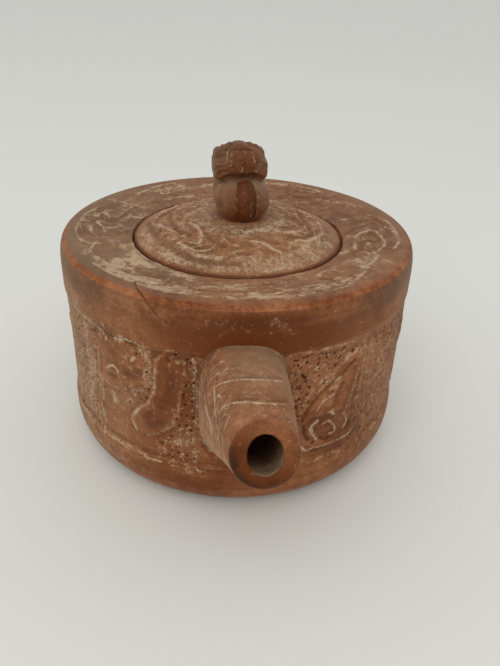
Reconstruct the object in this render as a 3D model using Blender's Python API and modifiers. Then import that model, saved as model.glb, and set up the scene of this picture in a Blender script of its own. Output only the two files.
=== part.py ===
"""Clay drum teapot with a short spout, an ear handle and a loose lid under a lion knob.

Metres, +Z up. The origin is the centre of the flat base. The spout points along -Y and the
handle along +Y. The lid lifts along Z and turns about Z.
"""

import math

import bmesh
import bpy
from mathutils import Matrix, Vector

# Joints and play between clay pieces
CLAY_GAP = 0.0003
LID_PLAY = 0.0005
CUT_OVERRUN = 0.0040

# Meshing: points closer than this are one, and edges bent more than this stay sharp
MERGE_DISTANCE = 0.00001
SHARP_ANGLE = math.radians(35.0)
ROUND_POWER = 2.0

# Drum body: overall radius and height, then its walls and corners
BODY_RADIUS = 0.0500
BODY_HEIGHT = 0.0635
WALL_THICKNESS = 0.0032
WALL_TAPER = 0.0003
BASE_INSET = 0.0105
BASE_THICKNESS = 0.0040
CORNER_HEIGHT = 0.0121
SHOULDER_ROUND_WIDTH = 0.0031
SHOULDER_ROUND_POWER = 3.3
SHOULDER_SKIRT = 0.0031
SHOULDER_FILLET = 0.0020
TOP_DISH = 0.0020
BODY_STEPS = 72
CORNER_STEPS = 6

# Carved band: the ground between its two lines is sunk, and motifs and luted roots stand proud of it
BAND_LOWER_MARGIN = 0.0035
BAND_UPPER_MARGIN = 0.0051
BAND_DEPTH = 0.0006
ROOT_MARGIN = 0.0022
# Motif outlines as shares of the band's height: across from the motif's middle, and up from the band's foot
LEAF_SHARES = (
    (-0.29, 0.34),
    (-0.295, 0.47),
    (-0.21, 0.61),
    (-0.06, 0.75),
    (0.065, 0.86),
    (0.205, 0.90),
    (0.28, 0.785),
    (0.29, 0.585),
    (0.285, 0.355),
    (0.235, 0.125),
    (0.09, 0.085),
    (-0.11, 0.11),
    (-0.25, 0.20),
)
LOBE_SHARES = (
    (0.003, 0.92),
    (0.103, 0.965),
    (0.203, 0.94),
    (0.223, 0.815),
    (0.21, 0.655),
    (0.163, 0.50),
    (0.10, 0.365),
    (0.01, 0.26),
    (-0.09, 0.20),
    (-0.20, 0.22),
    (-0.24, 0.31),
    (-0.185, 0.41),
    (-0.083, 0.52),
    (-0.04, 0.67),
    (-0.035, 0.815),
)
CLOUD_SHARES = (
    (-0.18, 0.937),
    (-0.054, 0.965),
    (0.08, 0.957),
    (0.19, 0.90),
    (0.255, 0.80),
    (0.26, 0.656),
    (0.19, 0.573),
    (0.06, 0.539),
    (-0.054, 0.51),
    (-0.17, 0.513),
    (-0.238, 0.60),
    (-0.255, 0.73),
    (-0.232, 0.842),
)
# Angles of the motifs' middles from the spout, growing to +X
LEAF_ANGLES = (math.radians(27.0), math.radians(132.0), math.radians(-140.0))
LOBE_ANGLES = (math.radians(-26.5), math.radians(93.5), math.radians(-91.5))
CLOUD_ANGLES = (math.radians(-40.2), math.radians(79.8), math.radians(-105.2))

# Strainer: holes pierced through the wall behind the spout
STRAINER_HOLE_RADIUS = 0.0015
STRAINER_RING_RADIUS = 0.0052
STRAINER_RING_HOLES = 6
STRAINER_SIDES = 10

# Lid and the ledge that it sits on
LID_RADIUS = 0.0295
LID_EDGE = 0.0028
LID_RISE = 0.0058
LID_THICKNESS = 0.0032
LID_EDGE_ROUND = 0.0006
LID_DOME_POWER = 1.8
SEAT_LEDGE = 0.0040
SEAT_LAP = 0.0050
SEAT_THICKNESS = 0.0030
FLANGE_THICKNESS = 0.0028
FLANGE_DEPTH = 0.0095
VENT_RADIUS = 0.0009
VENT_DISTANCE = 0.0138
VENT_ANGLE = math.radians(199.2)
VENT_SIDES = 12
DOME_STEPS = 6
RING_STEPS = 48

# Spout: squarish root on the wall, set a little to the left, and a round tip
SPOUT_REACH = 0.0840
SPOUT_TIP_HEIGHT = 0.0509
SPOUT_TIP_RADIUS = 0.0067
SPOUT_TIP_TILT = math.radians(20.0)
SPOUT_SIDE_WALL = 0.0035
SPOUT_EDGE_WALL = 0.0026
SPOUT_ROOT_TOP = 0.0530
SPOUT_ROOT_BOTTOM = 0.0184
SPOUT_ROOT_HALF_WIDTH = 0.0108
SPOUT_ROOT_OFFSET = 0.0013
SPOUT_BELLY_SHARES = (0.60, 0.68)
SPOUT_TAPER_POWER = 1.3
SPOUT_ROOT_POWER = 3.2
SPOUT_TIP_POWER = 2.0
SPOUT_RINGS = 10
SPOUT_SIDES = 28

# Ear handle: an upright loop opposite the spout
HANDLE_REACH = 0.0780
HANDLE_TOP = 0.0490
HANDLE_BOTTOM = 0.0165
HANDLE_WIDTH = 0.0100
HANDLE_THICKNESS = 0.0072
HANDLE_ROUTE_SHARES = (
    (-0.14, 0.93, 1.20),
    (0.22, 1.03, 1.10),
    (0.62, 1.02, 0.98),
    (0.93, 0.82, 0.92),
    (1.00, 0.52, 0.90),
    (0.86, 0.22, 0.92),
    (0.50, 0.02, 1.00),
    (0.14, -0.04, 1.12),
    (-0.14, -0.04, 1.20),
)
HANDLE_RESOLUTION = 4
HANDLE_BEVEL_RESOLUTION = 3

# Lion knob: its width across the haunches, its depth from tail to chest and its height
KNOB_WIDTH = 0.0155
KNOB_DEPTH = 0.0160
KNOB_HEIGHT = 0.0200
KNOB_OFFSET = 0.0006
KNOB_TURN = math.radians(5.0)
KNOB_SEAT_RADIUS = 0.0085
KNOB_SIDES = 20
KNOB_RINGS = 12
# Centre, then radii, as shares of the half width, the half depth and the height, then squareness
HAUNCH_SHARES = ((0.0, -0.20, 0.23), (1.0, 0.95, 0.29), 2.3)
CHEST_SHARES = ((-0.05, 0.36, 0.37), (0.95, 0.58, 0.36), 2.8)
SKULL_SHARES = ((-0.07, 0.16, 0.74), (0.93, 0.76, 0.235), 2.7)
SNOUT_SHARES = ((-0.07, 0.88, 0.68), (0.50, 0.36, 0.15), 2.2)
PAW_SHARES = ((0.42, 0.98, 0.085), (0.26, 0.34, 0.085), 2.2)
EAR_SHARES = ((0.86, 0.48, 0.82), (0.20, 0.20, 0.105), 2.0)
# Tail and mane lock: rolls of clay laid along the haunches and the skull
TAIL_HALF_WIDTH = 0.0024
TAIL_THICKNESS = 0.0016
TAIL_START = math.radians(-34.0)
TAIL_END = math.radians(58.0)
LOCK_HALF_WIDTH = 0.0038
LOCK_THICKNESS = 0.0016
LOCK_START = math.radians(-14.0)
LOCK_END = math.radians(104.0)
ROLL_SINK_SHARE = 0.45
ROLL_POINTS = 7
ROLL_END_SHARE = 0.45
ROLL_RESOLUTION = 2
ROLL_BEVEL_RESOLUTION = 1
# Forelegs: upright tapered rolls on two paws
LEG_RADIUS = 0.0018
LEG_TAPER_SHARE = 0.8
LEG_TOP_SHARE = 0.40
LEG_SETBACK_SHARE = 0.90
LEG_SIDES = 12
# Mane curls: pellets on the crest, by their angle from the top of the skull
CURL_RADIUS = 0.0012
CURL_SINK_SHARE = 0.25
CURL_ANGLES = (math.radians(33.0), math.radians(55.0), math.radians(80.0))
CURL_SIDES = 10
CURL_RINGS = 7

# Places that follow from the sizes above
WALL_FOOT_RADIUS = BODY_RADIUS - WALL_TAPER
BASE_RADIUS = WALL_FOOT_RADIUS - BASE_INSET
MOUTH_RADIUS = LID_RADIUS + LID_PLAY
MOUTH_TOP = BODY_HEIGHT - TOP_DISH
SEAT_TOP = MOUTH_TOP - LID_EDGE - CLAY_GAP
SLAB_UNDERSIDE = SEAT_TOP + CLAY_GAP
SEAM_HEIGHT = SLAB_UNDERSIDE - SHOULDER_SKIRT
SEAT_INNER_RADIUS = MOUTH_RADIUS - SEAT_LEDGE
SEAT_OUTER_RADIUS = MOUTH_RADIUS + SEAT_LAP
FLANGE_OUTER_RADIUS = SEAT_INNER_RADIUS - LID_PLAY
FLANGE_INNER_RADIUS = FLANGE_OUTER_RADIUS - FLANGE_THICKNESS
BAND_FOOT = CORNER_HEIGHT + BAND_LOWER_MARGIN
BAND_HEAD = SEAM_HEIGHT - BAND_UPPER_MARGIN
BAND_HEIGHT = BAND_HEAD - BAND_FOOT
LID_UNDERSIDE = SLAB_UNDERSIDE
LID_TOP = LID_UNDERSIDE + LID_EDGE + LID_RISE

# Fired clay: linear colour and roughness, body darker than the rubbed spout
BODY_CLAY = ((0.235, 0.083, 0.040), 0.62)
SPOUT_CLAY = ((0.290, 0.125, 0.070), 0.66)
HANDLE_CLAY = ((0.240, 0.090, 0.045), 0.60)
LID_CLAY = ((0.265, 0.115, 0.065), 0.68)
KNOB_CLAY = ((0.170, 0.062, 0.032), 0.52)
INSIDE_CLAY = ((0.220, 0.090, 0.050), 0.74)


def clear_scene():
    """Remove every object, so that the script can run twice."""
    for old in list(bpy.data.objects):
        bpy.data.objects.remove(old, do_unlink=True)


def make_collection(name):
    """Collection linked to the scene."""
    group = bpy.data.collections.new(name)
    bpy.context.scene.collection.children.link(group)
    return group


def make_material(name, clay):
    """Principled material of one piece from its (colour, roughness) pair."""
    colour, roughness = clay
    material = bpy.data.materials.new(name + "_clay")
    material.use_nodes = True
    shader = material.node_tree.nodes["Principled BSDF"]
    shader.inputs["Base Color"].default_value = (*colour, 1.0)
    shader.inputs["Roughness"].default_value = roughness
    shader.inputs["Metallic"].default_value = 0.0
    return material


class Bench:
    """The two collections that the pieces and the cutters go into."""

    def __init__(self):
        self.parts = make_collection("teapot")
        self.guides = make_collection("cutters")

    def piece(self, name, mesh, clay, parent=None):
        """Object for one clay piece, smooth with sharp edges kept."""
        part = bpy.data.objects.new(name, mesh)
        self.parts.objects.link(part)
        mesh.materials.append(make_material(name, clay))
        mesh.shade_smooth()
        mesh.set_sharp_from_angle(angle=SHARP_ANGLE)
        part.parent = parent
        return part

    def guide(self, name, mesh, parent=None):
        """Object that only cuts or joins, left out of the build."""
        helper = bpy.data.objects.new(name, mesh)
        self.guides.objects.link(helper)
        helper.hide_render = True
        helper.display_type = "WIRE"
        helper.parent = parent
        return helper


def mesh_from(name, shape):
    """Mesh data from a bmesh, which is freed."""
    bmesh.ops.recalc_face_normals(shape, faces=shape.faces)
    mesh = bpy.data.meshes.new(name)
    shape.to_mesh(mesh)
    shape.free()
    return mesh


def add_boolean(part, helper, operation):
    """Boolean modifier with the exact solver."""
    cut = part.modifiers.new(operation.lower() + "_" + helper.name, "BOOLEAN")
    cut.operation = operation
    cut.solver = "EXACT"
    cut.object = helper


def profile_mesh(name, outline, closed):
    """Outline of (radius, height) points as edges in the XZ plane."""
    shape = bmesh.new()
    corners = [shape.verts.new((radius, 0.0, height)) for radius, height in outline]
    for first, second in zip(corners, corners[1:]):
        shape.edges.new((first, second))
    if closed:
        shape.edges.new((corners[-1], corners[0]))
    mesh = bpy.data.meshes.new(name)
    shape.to_mesh(mesh)
    shape.free()
    return mesh


def add_turning(part, steps):
    """Screw modifier that turns the profile once about Z."""
    turning = part.modifiers.new("turning", "SCREW")
    turning.axis = "Z"
    turning.angle = math.tau
    turning.screw_offset = 0.0
    turning.steps = steps
    turning.render_steps = steps
    turning.use_merge_vertices = True
    turning.merge_threshold = MERGE_DISTANCE
    turning.use_smooth_shade = True


def quarter_ellipse(centre, radii, start, end, steps):
    """Points of an elliptical arc from one angle to another, both ends included."""
    points = []
    for step in range(steps + 1):
        angle = start + (end - start) * step / steps
        points.append((centre[0] + radii[0] * math.cos(angle), centre[1] + radii[1] * math.sin(angle)))
    return points


def superellipse_point(angle, power):
    """Unit superellipse point at an angle."""
    across = math.copysign(abs(math.cos(angle)) ** (2.0 / power), math.cos(angle))
    along = math.copysign(abs(math.sin(angle)) ** (2.0 / power), math.sin(angle))
    return across, along


def surface_point(angle, power):
    """Point in a direction on the unit curve |x|^power + |y|^power = 1."""
    across = math.cos(angle)
    along = math.sin(angle)
    reach = (abs(across) ** power + abs(along) ** power) ** (1.0 / power)
    return across / reach, along / reach


def base_outline():
    """Dish that closes the drum: outer corner down to the standing face, then the floor inside."""
    outer = quarter_ellipse((BASE_RADIUS, CORNER_HEIGHT), (BASE_INSET, CORNER_HEIGHT),
                            0.0, -math.pi / 2.0, CORNER_STEPS)
    inner = quarter_ellipse((BASE_RADIUS, CORNER_HEIGHT),
                            (BASE_INSET - WALL_THICKNESS, CORNER_HEIGHT - BASE_THICKNESS),
                            0.0, -math.pi / 2.0, CORNER_STEPS)
    inner.reverse()
    return [(0.0, BASE_THICKNESS)] + inner + outer + [(0.0, 0.0)]


def wall_outline():
    """Upright strip of the drum, a little wider at the top."""
    bottom = CORNER_HEIGHT + CLAY_GAP
    top = SEAM_HEIGHT - CLAY_GAP
    return [
        (BODY_RADIUS, top),
        (WALL_FOOT_RADIUS, bottom),
        (WALL_FOOT_RADIUS - WALL_THICKNESS, bottom),
        (BODY_RADIUS - WALL_THICKNESS, top),
    ]


def wall_radius(height):
    """Outer radius of the side wall at a height."""
    bottom = CORNER_HEIGHT + CLAY_GAP
    share = (height - bottom) / (SEAM_HEIGHT - CLAY_GAP - bottom)
    return WALL_FOOT_RADIUS + WALL_TAPER * share


def band_outline():
    """Section of the clay that is carved away between the band's two lines."""
    outside = BODY_RADIUS + CUT_OVERRUN
    return [
        (outside, BAND_HEAD),
        (wall_radius(BAND_HEAD) - BAND_DEPTH, BAND_HEAD),
        (wall_radius(BAND_FOOT) - BAND_DEPTH, BAND_FOOT),
        (outside, BAND_FOOT),
    ]


def motif_outline(shares):
    """Outline of a motif: length round the wall from its middle, and height."""
    return [(across * BAND_HEIGHT, BAND_FOOT + upward * BAND_HEIGHT) for across, upward in shares]


def root_outline(half_width):
    """Plain strip of wall, taller than the band, that a spout or handle is luted to."""
    low = BAND_FOOT - CUT_OVERRUN
    high = BAND_HEAD + CUT_OVERRUN
    return [(-half_width, low), (half_width, low), (half_width, high), (-half_width, high)]


def shoulder_outline():
    """Top slab: rounded outer corner, dished face, mouth edge, flat underside and skirt."""
    centre_radius = BODY_RADIUS - SHOULDER_ROUND_WIDTH
    rounding = []
    for step in range(CORNER_STEPS + 1):
        angle = math.pi / 2.0 * (1.0 - step / CORNER_STEPS)
        across, along = superellipse_point(angle, SHOULDER_ROUND_POWER)
        rounding.append((centre_radius + SHOULDER_ROUND_WIDTH * across,
                         SEAM_HEIGHT + (BODY_HEIGHT - SEAM_HEIGHT) * along))
    inner_radius = BODY_RADIUS - WALL_THICKNESS
    fillet = quarter_ellipse((inner_radius - SHOULDER_FILLET, SLAB_UNDERSIDE - SHOULDER_FILLET),
                             (SHOULDER_FILLET, SHOULDER_FILLET), 0.0, math.pi / 2.0, CORNER_STEPS // 2)
    return ([(MOUTH_RADIUS, MOUTH_TOP)] + rounding + [(inner_radius, SEAM_HEIGHT)] + fillet
            + [(MOUTH_RADIUS, SLAB_UNDERSIDE)])


def ring_outline(inner, outer, bottom, top):
    """Plain ring section, outer side first."""
    return [(outer, top), (outer, bottom), (inner, bottom), (inner, top)]


def dome_height(radius):
    """Height of the lid's upper face at a radius."""
    span = LID_RADIUS - KNOB_SEAT_RADIUS
    share = max(0.0, (radius - KNOB_SEAT_RADIUS) / span)
    return LID_TOP - LID_RISE * share ** LID_DOME_POWER


def lid_outline():
    """Domed plate: upper face, rounded rim, flat seat ring, then the hollow underside."""
    upper = [(0.0, LID_TOP)]
    edge_start = LID_RADIUS - LID_EDGE_ROUND
    for step in range(DOME_STEPS + 1):
        radius = KNOB_SEAT_RADIUS + (edge_start - KNOB_SEAT_RADIUS) * step / DOME_STEPS
        upper.append((radius, dome_height(radius)))
    rim = [(LID_RADIUS, dome_height(LID_RADIUS) - LID_EDGE_ROUND), (LID_RADIUS, LID_UNDERSIDE)]
    under = [(FLANGE_INNER_RADIUS, LID_UNDERSIDE)]
    hollow = LID_TOP - LID_THICKNESS - LID_UNDERSIDE
    for step in range(1, DOME_STEPS):
        share = step / DOME_STEPS
        radius = FLANGE_INNER_RADIUS * (1.0 - share)
        under.append((radius, LID_UNDERSIDE + hollow * math.sin(share * math.pi / 2.0)))
    return upper + rim + under + [(0.0, LID_TOP - LID_THICKNESS)]


def cylinder_mesh(name, radius, length, sides, matrix):
    """Closed cylinder along its own Z, centred, then placed by a matrix."""
    shape = bmesh.new()
    bmesh.ops.create_cone(shape, cap_ends=True, segments=sides, radius1=radius, radius2=radius,
                          depth=length, matrix=matrix)
    return mesh_from(name, shape)


def strainer_mesh():
    """Seven rods along Y, one in the middle of a ring of six, at the spout's root."""
    middle = (SPOUT_ROOT_TOP + SPOUT_ROOT_BOTTOM) / 2.0
    places = [(-SPOUT_ROOT_OFFSET, middle)]
    for number in range(STRAINER_RING_HOLES):
        angle = math.tau * number / STRAINER_RING_HOLES
        places.append((-SPOUT_ROOT_OFFSET + STRAINER_RING_RADIUS * math.cos(angle),
                       middle + STRAINER_RING_RADIUS * math.sin(angle)))
    shape = bmesh.new()
    for across, height in places:
        turn = Matrix.Translation((across, -BODY_RADIUS, height)) @ Matrix.Rotation(math.pi / 2.0, 4, "X")
        bmesh.ops.create_cone(shape, cap_ends=True, segments=STRAINER_SIDES,
                              radius1=STRAINER_HOLE_RADIUS, radius2=STRAINER_HOLE_RADIUS,
                              depth=WALL_THICKNESS + 2.0 * CUT_OVERRUN, matrix=turn)
    return mesh_from("strainer_rods", shape)


def stencil_mesh(name, outline, angles):
    """Blocks that stand radially through the wall, one outline at each angle from the spout."""
    shape = bmesh.new()
    for angle in angles:
        rings = []
        for radius in (BODY_RADIUS - CUT_OVERRUN, BODY_RADIUS + 2.0 * CUT_OVERRUN):
            ring = []
            for across, height in outline:
                turn = angle + across / BODY_RADIUS
                ring.append(shape.verts.new((radius * math.sin(turn), -radius * math.cos(turn), height)))
            rings.append(ring)
        near, far = rings
        shape.faces.new(near)
        shape.faces.new(far[::-1])
        for side, corner in enumerate(near):
            following = (side + 1) % len(near)
            shape.faces.new((corner, far[side], far[following], near[following]))
    bmesh.ops.triangulate(shape, faces=shape.faces)
    return mesh_from(name, shape)


def spout_edges(share):
    """Top and bottom points of the spout in the YZ plane, from root (0) to tip (1)."""
    start = -(BODY_RADIUS - CUT_OVERRUN)
    face = Vector((math.sin(SPOUT_TIP_TILT), math.cos(SPOUT_TIP_TILT))) * SPOUT_TIP_RADIUS
    tip = Vector((-SPOUT_REACH, SPOUT_TIP_HEIGHT))
    root_top = Vector((start, SPOUT_ROOT_TOP))
    root_bottom = Vector((start, SPOUT_ROOT_BOTTOM))
    tip_bottom = tip - face
    run = tip_bottom - root_bottom
    belly = root_bottom + Vector((run.x * SPOUT_BELLY_SHARES[0], run.y * SPOUT_BELLY_SHARES[1]))
    top = root_top.lerp(tip + face, share)
    bottom = (root_bottom * (1.0 - share) ** 2 + belly * (2.0 * share * (1.0 - share))
              + tip_bottom * share ** 2)
    return top, bottom


def spout_ring(share, side_inset, edge_inset):
    """Points round the spout at one share of its length, inset for the bore."""
    top, bottom = spout_edges(share)
    middle = (top + bottom) / 2.0
    upward = (top - bottom).normalized()
    half_height = (top - bottom).length / 2.0 - edge_inset
    ease = share ** SPOUT_TAPER_POWER
    half_width = SPOUT_ROOT_HALF_WIDTH + (SPOUT_TIP_RADIUS - SPOUT_ROOT_HALF_WIDTH) * ease - side_inset
    power = SPOUT_ROOT_POWER + (SPOUT_TIP_POWER - SPOUT_ROOT_POWER) * share
    offset = -SPOUT_ROOT_OFFSET * (1.0 - share)
    points = []
    for side in range(SPOUT_SIDES):
        across, along = superellipse_point(math.tau * side / SPOUT_SIDES, power)
        place = middle + upward * (half_height * along)
        points.append(Vector((offset + half_width * across, place.x, place.y)))
    return points


def spout_mesh():
    """Hollow loft between the root oval and the round tip."""
    shape = bmesh.new()
    outer = []
    bore = []
    for number in range(SPOUT_RINGS + 1):
        share = number / SPOUT_RINGS
        outer.append([shape.verts.new(point) for point in spout_ring(share, 0.0, 0.0)])
        inside = spout_ring(share, SPOUT_SIDE_WALL, SPOUT_EDGE_WALL)
        bore.append([shape.verts.new(point) for point in inside])
    circuit = outer + bore[::-1]
    circuit.append(circuit[0])
    for near, far in zip(circuit, circuit[1:]):
        for side in range(SPOUT_SIDES):
            following = (side + 1) % SPOUT_SIDES
            shape.faces.new((near[side], near[following], far[following], far[side]))
    return mesh_from("spout", shape)


def curve_mesh(name, points, weights, thickness, widening, resolution, bevel_resolution):
    """Closed mesh of a bevelled curve in the YZ plane, widened along X."""
    data = bpy.data.curves.new(name, "CURVE")
    data.dimensions = "3D"
    data.bevel_depth = thickness / 2.0
    data.bevel_resolution = bevel_resolution
    data.use_fill_caps = True
    data.resolution_u = resolution
    spline = data.splines.new("BEZIER")
    spline.bezier_points.add(len(points) - 1)
    for knot, point, weight in zip(spline.bezier_points, points, weights):
        knot.co = point
        knot.radius = weight
        knot.handle_left_type = "AUTO"
        knot.handle_right_type = "AUTO"
    carrier = bpy.data.objects.new(name + "_route", data)
    bpy.context.scene.collection.objects.link(carrier)
    bpy.context.view_layer.update()
    evaluated = carrier.evaluated_get(bpy.context.evaluated_depsgraph_get())
    mesh = bpy.data.meshes.new_from_object(evaluated)
    shape = bmesh.new()
    shape.from_mesh(mesh)
    bmesh.ops.remove_doubles(shape, verts=shape.verts, dist=MERGE_DISTANCE)
    bmesh.ops.scale(shape, vec=(widening, 1.0, 1.0), verts=shape.verts)
    bpy.data.objects.remove(carrier, do_unlink=True)
    bpy.data.meshes.remove(mesh)
    return mesh_from(name, shape)


def handle_mesh():
    """Ear loop through the wall at both ends, cut back to the wall afterwards."""
    depth = HANDLE_REACH - BODY_RADIUS
    height = HANDLE_TOP - HANDLE_BOTTOM
    points = []
    weights = []
    for outward, upward, weight in HANDLE_ROUTE_SHARES:
        points.append((0.0, BODY_RADIUS + depth * outward, HANDLE_BOTTOM + height * upward))
        weights.append(weight)
    return curve_mesh("handle", points, weights, HANDLE_THICKNESS, HANDLE_WIDTH / HANDLE_THICKNESS,
                      HANDLE_RESOLUTION, HANDLE_BEVEL_RESOLUTION)


def knob_form(shares, side=1.0):
    """Centre, radii and squareness of one knob form, mirrored where side is -1."""
    scale = Vector((KNOB_WIDTH / 2.0, KNOB_DEPTH / 2.0, KNOB_HEIGHT))
    centre, radii, power = shares
    centre = Vector(centre) * scale
    centre.x *= side
    return centre, Vector(radii) * scale, power


def knob_form_mesh(name, form, grow=0.0, sides=KNOB_SIDES, rings=KNOB_RINGS):
    """Squared ellipsoid of one knob form, grown by a gap where it is to cut its neighbour."""
    centre, radii, power = form
    shape = bmesh.new()
    bmesh.ops.create_uvsphere(shape, u_segments=sides, v_segments=rings, radius=1.0)
    for corner in shape.verts:
        reach = sum(abs(value) ** power for value in corner.co) ** (1.0 / power)
        corner.co /= reach
    grown = radii + Vector((grow, grow, grow))
    placing = Matrix.Translation(centre) @ Matrix.Diagonal((*grown, 1.0))
    bmesh.ops.transform(shape, matrix=placing, verts=shape.verts)
    return mesh_from(name, shape)


def roll_mesh(name, form, half_width, thickness, start, end):
    """Roll of clay laid over the back of a form, from one angle to another."""
    centre, radii, power = form
    points = []
    weights = []
    sunk = thickness * ROLL_SINK_SHARE
    for number in range(ROLL_POINTS):
        share = number / (ROLL_POINTS - 1)
        outward, upward = surface_point(start + (end - start) * share, power)
        points.append((centre.x, centre.y - (radii.y - sunk) * outward,
                       centre.z + (radii.z - sunk) * upward))
        weights.append(ROLL_END_SHARE + (1.0 - ROLL_END_SHARE) * math.sin(math.pi * share) ** 0.5)
    return curve_mesh(name, points, weights, 2.0 * thickness, half_width / thickness,
                      ROLL_RESOLUTION, ROLL_BEVEL_RESOLUTION)


def foreleg_mesh(name, side):
    """Upright tapered roll from the lid to the chest."""
    centre, _, _ = knob_form(PAW_SHARES, side)
    top = KNOB_HEIGHT * LEG_TOP_SHARE
    place = Matrix.Translation((centre.x, centre.y * LEG_SETBACK_SHARE, (top + CLAY_GAP) / 2.0))
    shape = bmesh.new()
    bmesh.ops.create_cone(shape, cap_ends=True, segments=LEG_SIDES, radius1=LEG_RADIUS,
                          radius2=LEG_RADIUS * LEG_TAPER_SHARE, depth=top - CLAY_GAP, matrix=place)
    return mesh_from(name, shape)


def band_cutter(bench):
    """Ring that sinks the band's ground, less the motifs and the strips under the spout and handle."""
    ground = bench.guide("band_ground", profile_mesh("band_ground", band_outline(), True))
    add_turning(ground, BODY_STEPS)
    spout_strip = root_outline(SPOUT_ROOT_HALF_WIDTH + ROOT_MARGIN)
    handle_strip = root_outline(HANDLE_WIDTH / 2.0 + ROOT_MARGIN)
    stencils = (
        ("leaf_stencil", motif_outline(LEAF_SHARES), LEAF_ANGLES),
        ("lobe_stencil", motif_outline(LOBE_SHARES), LOBE_ANGLES),
        ("cloud_stencil", motif_outline(CLOUD_SHARES), CLOUD_ANGLES),
        ("spout_stencil", spout_strip, (-SPOUT_ROOT_OFFSET / BODY_RADIUS,)),
        ("handle_stencil", handle_strip, (math.pi,)),
    )
    for name, outline, angles in stencils:
        add_boolean(ground, bench.guide(name, stencil_mesh(name, outline, angles)), "DIFFERENCE")
    return ground


def build_pot(bench):
    """Drum, lid seat, spout and handle, which stay fixed together."""
    rod = cylinder_mesh("drum_cutter", BODY_RADIUS + CLAY_GAP, BODY_HEIGHT + 2.0 * CUT_OVERRUN,
                        BODY_STEPS, Matrix.Translation((0.0, 0.0, BODY_HEIGHT / 2.0)))
    drum_cutter = bench.guide("drum_cutter", rod)
    strainer = bench.guide("strainer_cutter", strainer_mesh())

    base = bench.piece("base_dish", profile_mesh("base_dish", base_outline(), False), BODY_CLAY)
    add_turning(base, BODY_STEPS)

    wall = bench.piece("side_wall", profile_mesh("side_wall", wall_outline(), True), BODY_CLAY)
    add_turning(wall, BODY_STEPS)
    add_boolean(wall, band_cutter(bench), "DIFFERENCE")
    add_boolean(wall, strainer, "DIFFERENCE")

    shoulder = bench.piece("shoulder", profile_mesh("shoulder", shoulder_outline(), True), BODY_CLAY)
    add_turning(shoulder, BODY_STEPS)

    seat = ring_outline(SEAT_INNER_RADIUS, SEAT_OUTER_RADIUS, SEAT_TOP - SEAT_THICKNESS, SEAT_TOP)
    ledge = bench.piece("lid_seat", profile_mesh("lid_seat", seat, True), INSIDE_CLAY)
    add_turning(ledge, RING_STEPS)

    spout = bench.piece("spout", spout_mesh(), SPOUT_CLAY)
    add_boolean(spout, drum_cutter, "DIFFERENCE")

    handle = bench.piece("handle", handle_mesh(), HANDLE_CLAY)
    add_boolean(handle, drum_cutter, "DIFFERENCE")


def build_lid(bench):
    """Plate with its vent and the flange below it, both turning about Z; returns the plate."""
    flange_section = ring_outline(FLANGE_INNER_RADIUS, FLANGE_OUTER_RADIUS,
                                  SEAT_TOP - FLANGE_DEPTH, LID_UNDERSIDE - CLAY_GAP)
    flange = bench.piece("lid_flange", profile_mesh("lid_flange", flange_section, True), INSIDE_CLAY)
    add_turning(flange, RING_STEPS)

    place = Matrix.Translation((VENT_DISTANCE * math.cos(VENT_ANGLE),
                                VENT_DISTANCE * math.sin(VENT_ANGLE), LID_TOP))
    needle = cylinder_mesh("vent_cutter", VENT_RADIUS, 4.0 * LID_THICKNESS + LID_RISE, VENT_SIDES, place)
    vent = bench.guide("vent_cutter", needle, flange)
    plate = bench.piece("lid_plate", profile_mesh("lid_plate", lid_outline(), False), LID_CLAY, flange)
    add_turning(plate, BODY_STEPS)
    add_boolean(plate, vent, "DIFFERENCE")
    return plate


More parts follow.
